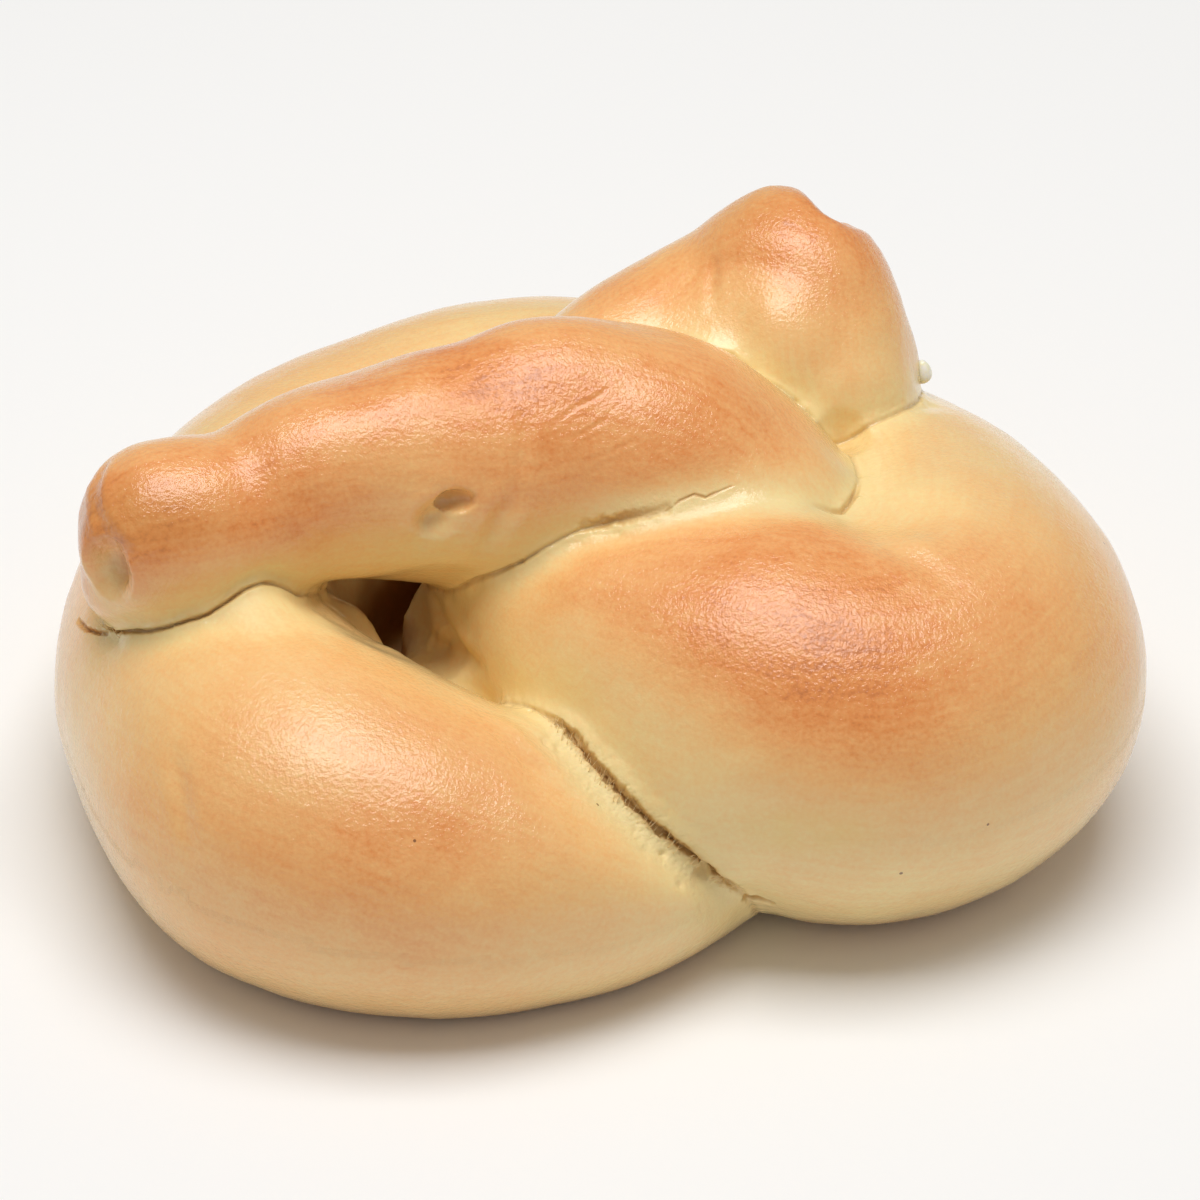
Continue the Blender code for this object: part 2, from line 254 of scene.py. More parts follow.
# Splits in the skin: points along the crack, half width, depth.
CRACKS = (
    # Under the top run, first open and then a hairline.
    (((-1.6, -12.6, 38.2), (0.6, -12.3, 38.7), (3.2, -12.0, 39.2), (6.8, -11.7, 39.7)), 0.55, 0.4),
    (((6.8, -11.8, 39.6), (8.0, -11.1, 40.5), (9.4, -10.7, 41.0), (10.6, -10.9, 40.7),
      (11.7, -10.5, 41.1), (13.3, -10.1, 41.6)), 0.13, 0.17),
    # In the pocket behind the tip.
    (((-54.0, -9.4, 24.2), (-53.0, -12.2, 25.3), (-51.8, -14.1, 26.2), (-50.4, -15.9, 27.3)),
     0.26, 0.8),
    # At the foot of the front seam.
    (((14.6, -36.6, 9.8), (16.2, -36.5, 9.4), (17.2, -36.2, 9.0)), 0.40, 1.5),
)

# Holes that gas left in the torn dough: centre, radii, direction, depth, edge.
GAS_HOLES = (
    ((10.4, -39.3, 14.2), (1.0, 2.0, 1.3), (0.05, 1.0, 0.5), 1.5, 0.8),
)


def hex_colour(code):
    """sRGB hex to the linear RGBA that shaders use."""
    parts = [int(code[k : k + 2], 16) / 255 for k in (1, 3, 5)]
    linear = [c / 12.92 if c <= 0.04045 else ((c + 0.055) / 1.055) ** 2.4 for c in parts]
    return (*linear, 1.0)


# ---------------------------------------------------------------------------
# Settings
# ---------------------------------------------------------------------------
def colour_setting(name, description, code):
    """A colour property whose default is an sRGB hex value."""
    return FloatVectorProperty(
        name=name, description=description, default=hex_colour(code), size=4,
        subtype="COLOR", min=0.0, max=1.0,
    )


class DoughSettings(bpy.types.PropertyGroup):
    """How the dough is shaped and how finely it is meshed."""

    voxel: FloatProperty(
        name="Voxel", description="Mesh size of the baked skin in millimetres",
        default=1.02, min=0.4, max=3.0,
    )
    smoothing: IntProperty(
        name="Smoothing", description="Smoothing passes after baking together",
        default=6, min=0, max=30,
    )
    unevenness: FloatProperty(
        name="Unevenness", description="Height of the uneven rise in millimetres",
        default=0.22, min=0.0, max=1.0,
    )
    crack_depth: FloatProperty(
        name="Crack depth", description="Depth of a torn seam in millimetres",
        default=0.95, min=0.0, max=4.0,
    )
    grown_passes: IntProperty(
        name="Grown passes", description="How far a seam that grew together is filled",
        default=22, min=0, max=80,
    )
    fibres: IntProperty(
        name="Fibres", description="Torn threads of dough on the lips of the open seams",
        default=170, min=0, max=600,
    )


class CrustSettings(bpy.types.PropertyGroup):
    """Colours and finish of the crust."""

    pale: colour_setting("Pale dough", "Dough that saw little heat", "#f4d997")
    straw: colour_setting("Straw", "First colour of the crust", "#f5cb88")
    golden: colour_setting("Golden", "Golden crust", "#f5bc76")
    amber: colour_setting("Amber", "Well baked crust", "#f0a862")
    brown: colour_setting("Brown", "Browned crust", "#e78f45")
    dark: colour_setting("Dark brown", "Darkest crust", "#cb7636")
    crumb: colour_setting("Torn crumb", "Dough opened along the seams", "#f0dca4")
    yolk: colour_setting("Pooled egg", "Beaten egg that ran together", "#efd27a")
    # Painted shade: the dark brown laid deep in the hollows of the ring, where little of the sky
    # is open.
    hollow_shade_brown: colour_setting("Inside the ring", "Dough deep inside the knot", "#98590c")
    # Painted shade: this brown darkens the seams, cracks and hollows. It also gives the darker
    # patches on the tip and the knob's top and the lowest edge of the foot.
    shade_and_foot_brown: colour_setting("Toasted crevice", "Bottom of a seam", "#bf8434")
    speck: colour_setting("Speck", "Caramelised speck of egg", "#6a4018")
    gloss: FloatProperty(
        name="Egg wash", description="Strength of the egg-wash film",
        default=1.0, min=0.0, max=1.0, subtype="FACTOR",
    )
    gloss_roughness: FloatProperty(
        name="Film roughness", description="Roughness of the egg-wash film",
        default=0.13, min=0.02, max=1.0, subtype="FACTOR",
    )


class StageSettings(bpy.types.PropertyGroup):
    """Floor, light and camera."""

    floor: colour_setting("Floor", "Seamless paper under the knot", "#f7f6f4")
    elevation: FloatProperty(
        name="Elevation", description="Camera angle above the floor",
        default=math.radians(36.0), subtype="ANGLE",
    )
    distance: FloatProperty(
        name="Distance", description="Camera distance", default=0.7, unit="LENGTH",
    )
    lens: FloatProperty(
        name="Lens", description="Focal length on a 36 mm sensor", default=200.5,
        subtype="DISTANCE_CAMERA",
    )
    softbox_power: FloatProperty(
        name="Softbox", description="Power of the overhead softbox", default=4.7,
        unit="POWER",
    )
    surround: FloatProperty(
        name="Surround", description="Brightness of the white surroundings", default=0.30,
    )


# ---------------------------------------------------------------------------
# The rope of dough
# ---------------------------------------------------------------------------
def spline_through(stations, step):
    """Even-paced Catmull-Rom samples through every column of the stations."""
    known = np.array(stations)
    known = np.vstack([2 * known[0] - known[1], known, 2 * known[-1] - known[-2]])
    samples = []
    for i in range(1, len(known) - 2):
        a, b, c, d = known[i - 1 : i + 3]
        count = max(2, round(float(np.linalg.norm(c[:3] - b[:3])) / step))
        t = (np.arange(count) / count)[:, None]
        samples.append(
            0.5 * (2 * b + (c - a) * t + (2 * a - 5 * b + 4 * c - d) * t**2
                   + (3 * b - 3 * c + d - a) * t**3)
        )
    samples.append(known[-2][None, :])
    return np.vstack(samples)


def rope_frames(centres):
    """Direction, side and upward vectors along the rope, turning without a twist.

    Where the rope lies level, its upward vector is pulled gently back to upright.
    """
    along = np.gradient(centres, axis=0)
    along /= np.linalg.norm(along, axis=1)[:, None]
    upright = np.array([0.0, 0.0, 1.0])
    ups = []
    up = None
    for t in along:
        level = upright - (upright @ t) * t
        evenness = np.linalg.norm(level)
        if up is None:
            up = level / evenness
        up = up - (up @ t) * t
        up /= np.linalg.norm(up)
        if evenness > 0.05:
            pull = 0.3 * min(1.0, max(0.0, (evenness - 0.35) / 0.4))
            up = (1 - pull) * up + pull * level / evenness
            up -= (up @ t) * t
            up /= np.linalg.norm(up)
        ups.append(up)
    ups = np.array(ups)
    return along, np.cross(along, ups), ups


class Rope:
    """The rope of dough sampled along its length, in millimetres."""

    def __init__(self):
        path = spline_through(ROPE_STATIONS, STEP_ALONG_ROPE)
        self.centre = path[:, :3]
        self.half = path[:, 3:5]
        self.along, self.side, self.up = rope_frames(self.centre)
        steps = np.linalg.norm(np.diff(self.centre, axis=0), axis=1)
        self.way = np.concatenate([[0.0], np.cumsum(steps)])

    def ring(self, i, shift, scale):
        """The points round sample i, moved along the rope and scaled about its centre."""
        angle = np.linspace(0.0, 2.0 * math.pi, SIDES_OF_ROPE, endpoint=False)
        across = np.outer(np.cos(angle) * self.half[i, 0] * scale, self.side[i])
        upward = np.outer(np.sin(angle) * self.half[i, 1] * scale, self.up[i])
        return self.centre[i] + self.along[i] * shift + across + upward

    def rings(self):
        """Rings from tip to knob with rounded ends, and the two end points."""
        last = len(self.centre) - 1
        reach = (self.half[0, 0] * END_CAP_LENGTH, self.half[last, 0] * END_CAP_LENGTH)
        rings = []
        for k in range(1, END_CAP_RINGS):
            phi = 0.5 * math.pi * (1 - k / END_CAP_RINGS)
            rings.append(self.ring(0, -reach[0] * math.sin(phi), math.cos(phi)))
        rings += [self.ring(i, 0.0, 1.0) for i in range(last + 1)]
        for k in range(1, END_CAP_RINGS):
            phi = 0.5 * math.pi * k / END_CAP_RINGS
            rings.append(self.ring(last, reach[1] * math.sin(phi), math.cos(phi)))
        poles = (
            self.centre[0] - self.along[0] * reach[0],
            self.centre[last] + self.along[last] * reach[1],
        )
        return rings, poles

    def outward(self, k, points):
        """Direction away from the rope at each point, for its own sample k."""
        offset = points - self.centre[k]
        sides = np.einsum("ij,ij->i", offset, self.side[k]) / self.half[k, 0] ** 2
        ups = np.einsum("ij,ij->i", offset, self.up[k]) / self.half[k, 1] ** 2
        way = sides[:, None] * self.side[k] + ups[:, None] * self.up[k]
        return way / np.maximum(np.linalg.norm(way, axis=1), 1e-9)[:, None]

    def seam_facts(self, points):
        """Own run, the next run, the distance from the seam between them, and the pull.

        The pull is the direction along the skin towards the next run.
        """
        picked = np.arange(0, len(self.centre), 2)
        depth = np.empty((len(picked), len(points)), np.float32)
        for row, k in enumerate(picked):
            offset = points - self.centre[k]
            mean = self.half[k].mean()
            reach = np.sqrt(
                (offset @ self.side[k] / self.half[k, 0]) ** 2
                + (offset @ self.up[k] / self.half[k, 1]) ** 2
                + (offset @ self.along[k] / mean) ** 2
            )
            depth[row] = (reach - 1.0) * mean
        own = depth.argmin(axis=0)
        near = depth.min(axis=0)
        way = self.way[picked]
        for row in range(len(picked)):
            depth[row, np.abs(way[row] - way[own]) < RUN_APART] = np.inf
        other = picked[depth.argmin(axis=0)]
        gap = depth.min(axis=0) - near
        own = picked[own]
        pull = self.outward(own, points) - self.outward(other, points)
        pull /= np.maximum(np.linalg.norm(pull, axis=1), 1e-9)[:, None]
        return {"own": own, "other": other, "gap": gap, "pull": pull}


def loft_rope(bm, rope):
    """Skins the rings of the rope and closes both ends."""
    rings, poles = rope.rings()
    loops = [[bm.verts.new(Vector(p)) for p in ring] for ring in rings]
    first = bm.verts.new(Vector(poles[0]))
    final = bm.verts.new(Vector(poles[1]))
    for lower, upper in zip(loops, loops[1:]):
        for j in range(SIDES_OF_ROPE):
            k = (j + 1) % SIDES_OF_ROPE
            bm.faces.new((lower[j], lower[k], upper[k], upper[j]))
    for j in range(SIDES_OF_ROPE):
        k = (j + 1) % SIDES_OF_ROPE
        bm.faces.new((first, loops[0][k], loops[0][j]))
        bm.faces.new((final, loops[-1][j], loops[-1][k]))


def add_inner_dough(bm):
    """Rounded lumps that close the ring from inside."""
    for centre, radii in INNER_DOUGH:
        made = bmesh.ops.create_icosphere(bm, subdivisions=4, radius=1.0)
        for vert in made["verts"]:
            vert.co = Vector([vert.co[n] * radii[n] + centre[n] for n in range(3)])


def baked_together(rope, dough):
    """One closed skin round the rope and the dough inside the ring."""
    bm = bmesh.new()
    loft_rope(bm, rope)
    add_inner_dough(bm)
    bmesh.ops.recalc_face_normals(bm, faces=bm.faces)
    mesh = bpy.data.meshes.new("rope_of_dough")
    bm.to_mesh(mesh)
    bm.free()
    draft = bpy.data.objects.new("rope_of_dough", mesh)
    bpy.context.scene.collection.objects.link(draft)
    blend = draft.modifiers.new("Baked together", "REMESH")
    blend.mode = "VOXEL"
    blend.voxel_size = dough.voxel
    soften = draft.modifiers.new("Risen skin", "SMOOTH")
    soften.factor = 0.5
    soften.iterations = dough.smoothing
    graph = bpy.context.evaluated_depsgraph_get()
    skin = bpy.data.meshes.new_from_object(draft.evaluated_get(graph))
    bpy.data.objects.remove(draft)
    bpy.data.meshes.remove(mesh)
    return skin


# ---------------------------------------------------------------------------
# Sculpting helpers, all in millimetres
# ---------------------------------------------------------------------------
def bump_across(gap, height, middle, half_width):
    """Height of a soft ridge that runs beside a seam, at each distance from it."""
    return height * np.exp(-(((gap - middle) / half_width) ** 2))


def points_of(mesh):
    values = np.empty(len(mesh.vertices) * 3)
    mesh.vertices.foreach_get("co", values)
    return values.reshape(-1, 3)


def move_points(mesh, points):
    mesh.vertices.foreach_set("co", points.ravel())
    mesh.update()


def normals_of(mesh):
    values = np.empty(len(mesh.vertices) * 3, np.float32)
    mesh.vertex_normals.foreach_get("vector", values)
    return values.reshape(-1, 3).astype(float)


def smoothstep(low, high, values):
    t = np.clip((values - low) / (high - low), 0.0, 1.0)
    return t * t * (3.0 - 2.0 * t)


def grain(points, size, octaves, offset):
    """Fractal noise, about -1 to 1, whose largest feature is size millimetres."""
    places = points / size + offset
    return np.array([noise.fractal(p, 1.0, 2.0, octaves) for p in places.tolist()])


def zone(points, centre, radii, turn, inner, outer):
    """1 near the centre of an ellipsoid turned about Z by degrees, fading to 0.

    Inner and outer are where the fade starts and ends, with 1 on the ellipsoid.
    """
    angle = math.radians(turn)
    across = np.array([math.cos(angle), math.sin(angle), 0.0])
    deep = np.array([-math.sin(angle), math.cos(angle), 0.0])
    offset = points - np.array(centre)
    reach = np.sqrt(
        (offset @ across / radii[0]) ** 2
        + (offset @ deep / radii[1]) ** 2
        + (offset[:, 2] / radii[2]) ** 2
    )
    return 1.0 - smoothstep(inner, outer, reach)


def push(points, centre, radii, direction, distance, edge):
    """Moves the skin inside an ellipsoid along one direction."""
    reach = (points - np.array(centre)) / np.array(radii)
    weight = np.clip(1.0 - (reach**2).sum(axis=1), 0.0, None) ** edge
    way = np.array(direction) / np.linalg.norm(direction)
    return points + weight[:, None] * way * distance


def along_route(points, route):
    """Distance to a broken line, and how far along it the nearest place is, 0 to 1."""
    knots = np.array(route)
    pieces = len(knots) - 1
    nearest = np.full(len(points), np.inf)
    share = np.zeros(len(points))
    for k in range(pieces):
        start, end = knots[k], knots[k + 1]
        line = end - start
        t = np.clip((points - start) @ line / (line @ line), 0.0, 1.0)
        gap = np.linalg.norm(points - start - t[:, None] * line, axis=1)
        closer = gap < nearest
        nearest[closer] = gap[closer]
        share[closer] = (k + t[closer]) / pieces
    return nearest, share


def fold(points, normals, route, width, depth):
    """A crease with soft lips that fades out at both ends."""
    gap, share = along_route(points, route)
    fade = np.sin(math.pi * np.clip(share, 0.04, 0.96)) ** 0.6
    valley = np.exp(-((gap / width) ** 2))
    lips = 0.35 * np.exp(-(((gap - 2.0 * width) / width) ** 2))
    return points - normals * (depth * fade * (valley - lips))[:, None]


def laid_on_skin(points, route):
    """The route moved onto the nearest points of the skin."""
    return [points[np.linalg.norm(points - np.array(p), axis=1).argmin()] for p in route]


def split(points, normals, route, width, depth):
    """A ragged crack with steep walls."""
    gap, share = along_route(points, laid_on_skin(points, route))
    near = gap < 4.0 * width
    ragged = np.zeros(len(points))
    ragged[near] = grain(points[near], 0.9, 3, 31.0)
    fade = np.sin(math.pi * np.clip(share, 0.05, 0.95)) ** 0.4
    edge = np.maximum(gap + 0.6 * width * ragged, 0.0)
    wall = np.exp(-((edge / width) ** 3)) * fade
    return points - normals * (depth * wall * (1.0 + 0.6 * ragged))[:, None], wall


def refine(mesh, chosen, softness=0.6):
    """Splits the chosen faces in four and smooths the new points."""
    bm = bmesh.new()
    bm.from_mesh(mesh)
    bm.faces.ensure_lookup_table()
    edges = {e for k in np.flatnonzero(chosen) for e in bm.faces[k].edges}
    made = bmesh.ops.subdivide_edges(bm, edges=list(edges), cuts=1, use_grid_fill=True)
    fresh = [g for g in made["geom_inner"] if isinstance(g, bmesh.types.BMVert)]
    bmesh.ops.smooth_vert(bm, verts=fresh, factor=softness, use_axis_x=True,
                          use_axis_y=True, use_axis_z=True)
    bm.to_mesh(mesh)
    bm.free()
    mesh.update()


def faces_touching(mesh, under):
    """Faces with at least one chosen corner."""
    corners = np.empty(len(mesh.loops), np.int32)
    mesh.loops.foreach_get("vertex_index", corners)
    starts = np.empty(len(mesh.polygons), np.int32)
    mesh.polygons.foreach_get("loop_start", starts)
    return np.logical_or.reduceat(under[corners], starts)


def sky_seen(mesh, points, normals, reach=45.0, rays=20, lift=0.3):
    """Share of the dome over each point that is open, which is where heat comes from.

    The rays are spread evenly, start a little off the skin and count as open past reach.
    """
    tree = BVHTree.FromPolygons(
        [tuple(p) for p in points], [tuple(f.vertices) for f in mesh.polygons]
    )
    golden = math.pi * (3.0 - math.sqrt(5.0))
    k = np.arange(rays)
    rise = np.sqrt(1.0 - (k + 0.5) / rays)
    spread = np.sqrt(1.0 - rise**2)
    dome = np.stack([np.cos(golden * k) * spread, np.sin(golden * k) * spread, rise], axis=1)
    helper = np.where(np.abs(normals[:, 2:3]) < 0.9, [[0.0, 0.0, 1.0]], [[1.0, 0.0, 0.0]])
    first = np.cross(helper, normals)
    first /= np.linalg.norm(first, axis=1)[:, None]
    second = np.cross(normals, first)
    seen = np.zeros(len(points))
    starts = (points + normals * lift).tolist()
    for x, y, z in dome:
        ways = (first * x + second * y + normals * z).tolist()
        hits = [tree.ray_cast(a, b, reach)[0] is None for a, b in zip(starts, ways)]
        seen += np.array(hits)
    return seen / rays


def spread_evenly(mesh, values, passes=3):
    """Averages a value over neighbouring points."""
    pairs = np.empty(len(mesh.edges) * 2, np.int32)
    mesh.edges.foreach_get("vertices", pairs)
    a, b = pairs[0::2], pairs[1::2]
    count = np.bincount(pairs, minlength=len(values))
    for _ in range(passes):
        total = np.bincount(a, values[b], len(values)) + np.bincount(b, values[a], len(values))
        values = 0.5 * values + 0.5 * total / np.maximum(count, 1)
    return values


# ---------------------------------------------------------------------------
# Where the dough tore and where it browned
# ---------------------------------------------------------------------------
# Where a zone's fade starts and ends, with 1 on its ellipsoid.
SOFT_FADE = (0.2, 1.1)
GROWN_FADE = (0.7, 1.05)

# Seams that tore open as the dough rose: centre, radii, turn about Z, amount if below 1.
TORN_ZONES = (
    ((1.5, -36.0, 18.5), (19.0, 11.0, 13.5), -25.0),
    ((-52.5, -15.0, 28.0), (7.0, 8.0, 3.6), 0.0, 0.4),
)
# Raw dough that shows beside a split.
RAW_BANDS = (
    ((6.5, -11.5, 40.0), (9.0, 2.6, 2.6), 8.0, 0.75),
    ((20.0, -12.3, 41.0), (9.0, 2.2, 2.2), -8.0, 0.35),
    ((-42.0, -19.5, 33.5), (12.0, 3.0, 2.4), -8.0, 0.45),
)
# Seams where two skins only touch: the crease stays thin, and shade is painted along it.
SHARP_ZONES = (
    ((-42.0, -19.0, 31.0), (15.0, 9.0, 8.0), 0.0),
    ((29.0, 12.0, 36.0), (9.0, 13.0, 8.0), 0.0, 0.45),
    ((-12.0, -14.0, 32.0), (9.0, 6.0, 8.0), 0.0, 0.6),
    ((27.0, -9.0, 39.0), (4.0, 7.0, 6.0), 0.0, 0.9),
)
# Seams that grew together again, with only a pale band left to show them.
GROWN_ZONES = (
    ((14.0, -12.5, 40.0), (14.0, 5.5, 5.5), 0.0),
)
# Inside of the ring, which neither the brush nor the oven's heat reached.
INNER_ZONES = (
    ((-16.0, -11.0, 18.0), (15.0, 9.0, 8.5), 0.0),
)
# Skin beside the folds that the brush only grazed.
MISSED_BY_BRUSH = (
    ((-34.0, -20.5, 33.0), (10.0, 8.0, 7.0), 0.0, 1.0),
    ((33.0, -8.0, 40.0), (9.0, 8.0, 6.0), -30.0, 0.6),
    ((2.0, -13.5, 39.0), (16.0, 4.0, 4.0), 4.0, 0.6),
    ((8.0, 22.5, 45.0), (6.0, 6.0, 6.0), 0.0, 0.7),
    ((-36.0, -33.0, 30.0), (11.0, 9.0, 7.0), 0.0, 0.6),
    ((-14.0, -7.0, 50.5), (7.0, 6.0, 4.0), 0.0, 0.4),
)
# Painted shade in the pit on the top run, on the walls of the hollow, in the corner by the knob
# and in the tip's dimple, and darker brown patches on the tip and on the top of the knob.
SHADED_HOLLOWS_AND_DARK_PATCHES = (
    ((-15.0, -12.3, 42.4), (2.1, 2.5, 1.5), 0.0, 0.7),
    ((-18.2, -7.5, 21.8), (4.0, 5.5, 4.5), 0.0, 0.35),
    ((-15.8, -11.3, 21.0), (3.5, 4.0, 2.6), 0.0, 0.40),
    ((25.2, 7.2, 34.8), (2.0, 2.6, 2.0), 0.0, 0.50),
    ((-48.3, -18.6, 37.3), (1.6, 2.8, 3.2), 0.0, 0.75),
    ((-46.0, -18.5, 44.0), (11.0, 5.0, 5.0), 0.0, 0.50),
    ((-51.5, -15.5, 42.5), (4.0, 6.0, 5.0), 0.0, 0.50),
    ((16.0, 27.0, 50.5), (9.0, 7.0, 5.0), 0.0, 0.30),
)
# Where beaten egg ran together and set yellow and glossy.
POOLED_EGG = (
    ((19.5, 15.0, 38.5), (6.0, 5.0, 5.0), -30.0, 1.0),
    ((33.0, 20.5, 33.5), (2.5, 3.0, 3.0), 0.0, 1.0),
    ((20.8, -40.2, 20.9), (10.0, 5.0, 4.0), 0.0, 0.55),
    ((-4.0, -27.0, 30.0), (5.0, 5.0, 4.0), 0.0, 0.3),
)

# Crowns that the oven heat reached first.
BROWNED = (
    ((-25.0, -38.0, 20.0), (33.0, 24.0, 22.0), -10.0, 0.74),
    ((-23.0, -42.0, 22.0), (19.0, 13.0, 13.0), -10.0, 0.45),
    ((21.0, -22.0, 34.0), (41.0, 24.0, 20.0), -4.0, 0.88),
    ((18.5, -33.0, 32.0), (26.0, 15.0, 14.0), -8.0, 0.88),
    ((50.0, -10.0, 24.0), (16.0, 22.0, 17.0), 0.0, 0.30),
    ((-10.0, -4.0, 47.0), (34.0, 16.0, 15.0), 10.0, 0.95),
    ((12.0, -3.0, 43.0), (20.0, 15.0, 12.0), -14.0, 0.55),
    ((-34.0, -13.0, 42.0), (18.0, 13.0, 13.0), 14.0, 0.85),
    ((-50.0, -16.0, 39.0), (12.0, 13.0, 13.0), 0.0, 0.93),
    ((-46.0, -17.0, 42.0), (12.0, 10.0, 9.0), 0.0, 0.90),
    ((22.0, 25.0, 48.5), (18.5, 16.0, 17.0), 0.0, 0.90),
    ((2.0, 21.5, 45.0), (14.0, 10.0, 8.0), 30.0, 0.65),
    ((-30.0, 30.0, 29.0), (22.0, 14.0, 10.0), 35.0, 0.45),
    ((0.0, 45.0, 22.0), (44.0, 14.0, 13.0), -4.0, 0.50),
    ((-54.0, 2.0, 22.0), (12.0, 26.0, 13.0), 10.0, 0.40),
)

# Skin that only showed when the folds pulled apart.
STRETCHED = (
    ((2.5, -31.5, 24.0), (30.0, 10.0, 16.0), -34.0, 0.85),
    ((30.0, -38.0, 6.0), (42.0, 20.0, 13.0), -6.0, 0.60),
    ((30.0, -7.0, 39.0), (14.0, 9.0, 8.0), -30.0, 0.70),
    ((-34.0, -20.0, 34.0), (20.0, 7.0, 6.0), 0.0, 0.75),
    ((-20.0, -23.5, 31.0), (22.0, 5.0, 5.0), -25.0, 0.50),
    ((29.0, -14.0, 40.5), (9.0, 7.0, 6.0), -30.0, 0.50),
    ((9.0, -42.0, 13.0), (14.0, 7.0, 10.0), -20.0, 0.50),
    ((-49.8, -18.6, 36.8), (3.6, 4.6, 4.2), 0.0, 0.80),
    ((-3.0, -23.0, 32.0), (6.0, 5.0, 5.0), 0.0, 0.35),
    ((-17.0, -28.0, 28.0), (8.0, 6.0, 6.0), -34.0, 0.35),
    ((-22.0, 30.0, 28.0), (32.0, 12.0, 12.0), 28.0, 0.30),
    ((-10.0, -25.0, 29.0), (20.0, 6.5, 6.5), -34.0, 0.80),
    ((-10.0, -13.5, 37.0), (24.0, 4.0, 5.0), 4.0, 0.30),
    ((-49.0, -21.5, 33.0), (9.0, 6.0, 4.0), 0.0, 0.35),
    ((-15.8, -14.0, 41.0), (3.4, 3.0, 3.0), 0.0, 0.50),
    ((-15.0, -14.5, 36.5), (14.0, 4.0, 5.5), 0.0, 0.55),
    ((-40.2, -20.6, 38.5), (9.0, 4.0, 4.0), 0.0, 0.30),
)


def amount_in(zones, points, inner, outer):
    """Strength of the strongest zone at each point. A zone without an amount counts as 1."""
    amount = np.zeros(len(points))
    for centre, radii, turn, *strength in zones:
        here = zone(points, centre, radii, turn, inner, outer)
        amount = np.maximum(amount, here * (strength[0] if strength else 1.0))
    return amount


def left_by(zones, points, inner, outer):
    """What is left of 1 at each point when every zone has taken its share."""
    left = np.ones(len(points))
    for centre, radii, turn, amount in zones:
        left *= 1.0 - amount * zone(points, centre, radii, turn, inner, outer)
    return left


def browned_amount(points, normals, sky, gap):
    """How brown the crust is, 0 pale to 1 brown."""
    wavy = points + normals * (2.2 * grain(points, 11.0, 3, 5.0))[:, None]
    crowned = 1.0 - left_by(BROWNED, wavy, 0.1, 1.15)
    open_crust = smoothstep(0.35, 0.85, sky)
    brown = (0.25 + 0.75 * crowned) * (0.35 + 0.65 * open_crust)
    brown = brown * left_by(STRETCHED, wavy, 0.1, 1.1)
    foot = 1.0 - smoothstep(1.0, 9.0, points[:, 2])
    brown = np.maximum(brown, 0.30 * foot)
    underside = 0.80 + 0.20 * smoothstep(-0.6, 0.4, normals[:, 2])
    return 0.95 * brown * underside * smoothstep(0.0, 5.5, gap)


# ---------------------------------------------------------------------------
# The knot
# ---------------------------------------------------------------------------
def grow_together(mesh, points, grown, passes):
    """Fills the groove where two folds grew into one."""
    for _ in range(passes):
        softer = np.column_stack([spread_evenly(mesh, points[:, n], 1) for n in range(3)])
        points = points + grown[:, None] * (softer - points)
    return points


def shape_seams(points, normals, seam, dough):
    """Neat creases where folds touch, and ragged cracks where the dough tore."""
    gap, torn, upper, pull = seam["gap"], seam["torn"], seam["upper"], seam["pull"]
    lower = 1.0 - upper
    ragged = grain(points, 1.3, 3, 11.0)
    edge = np.maximum(gap + TORN_EDGE_WANDER * torn * ragged, 0.0)
    half_width = CREASE_HALF_WIDTH + TORN_EXTRA_WIDTH * torn
    crack = np.exp(-((edge / half_width) ** (2.0 + 2.0 * torn)))
    neat = NEAT_CREASE_DEPTH * seam["sharp"]
    depth = neat + (dough.crack_depth - neat) * torn
    sink = crack * depth * (1.0 - seam["grown"])

    lip = torn * upper * bump_across(gap, *UPPER_LIP)
    slope = torn * lower * bump_across(gap, *LOWER_SLOPE)
    over = torn * upper * bump_across(gap, *OVERHANG) * (1.0 + 0.5 * ragged)
    pulled = points - STREAK_DRAW * np.einsum("ij,ij->i", points, pull)[:, None] * pull
    near = torn * (1.0 - smoothstep(3.0, 6.0, gap))
    streaks = np.zeros(len(points))
    chosen = near > 0.01
    streaks[chosen] = near[chosen] * grain(pulled[chosen], STREAK_WIDTH, 2, 17.0)
    streaks *= STREAK_HEIGHT + STREAK_HEIGHT_BELOW * lower
    out = lip - slope - sink + streaks
    return points + normals * out[:, None] + pull * over[:, None]


def open_pores(points, normals, seam):
    """Small round holes where gas broke through the torn dough."""
    spacing, radius, depth, reach = PORES
    near = seam["torn"] * (1.0 - seam["upper"]) * (seam["gap"] < reach)
    holes = np.zeros(len(points))
    for i in np.flatnonzero(near > 0.4):
        distances, _ = noise.voronoi(Vector(points[i]) / spacing)
        holes[i] = math.exp(-((distances[0] / radius) ** 2))
    return points - normals * (depth * near * holes)[:, None]


def uneven_skin(points, normals, dough):
    """Dough never rises evenly: slow swells and a finer ripple."""
    swell = grain(points, 16.0, 2, 3.0)
    ripple = grain(points, 5.0, 3, 7.0)
    return points + normals * (dough.unevenness * (swell + 0.35 * ripple))[:, None]


def settle_on_tray(points, softness=0.8):
    """Flat underside with a small rounded foot."""
    z = points[:, 2]
    foot = (z + softness) ** 2 / (4 * softness)
    settled = np.where(z > softness, z, np.where(z < -softness, 0.0, foot))
    return np.column_stack([points[:, :2], settled])


def write_attribute(mesh, name, values):
    """Stores one number or one vector for each point."""
    kind = "FLOAT" if values.ndim == 1 else "FLOAT_VECTOR"
    layer = mesh.attributes.new(name, kind, "POINT")
    field = "value" if values.ndim == 1 else "vector"
    layer.data.foreach_set(field, values.astype(np.float32).ravel())


def values_of(mesh, name):
    values = np.empty(len(mesh.vertices), np.float32)
    mesh.attributes[name].data.foreach_get("value", values)
    return values


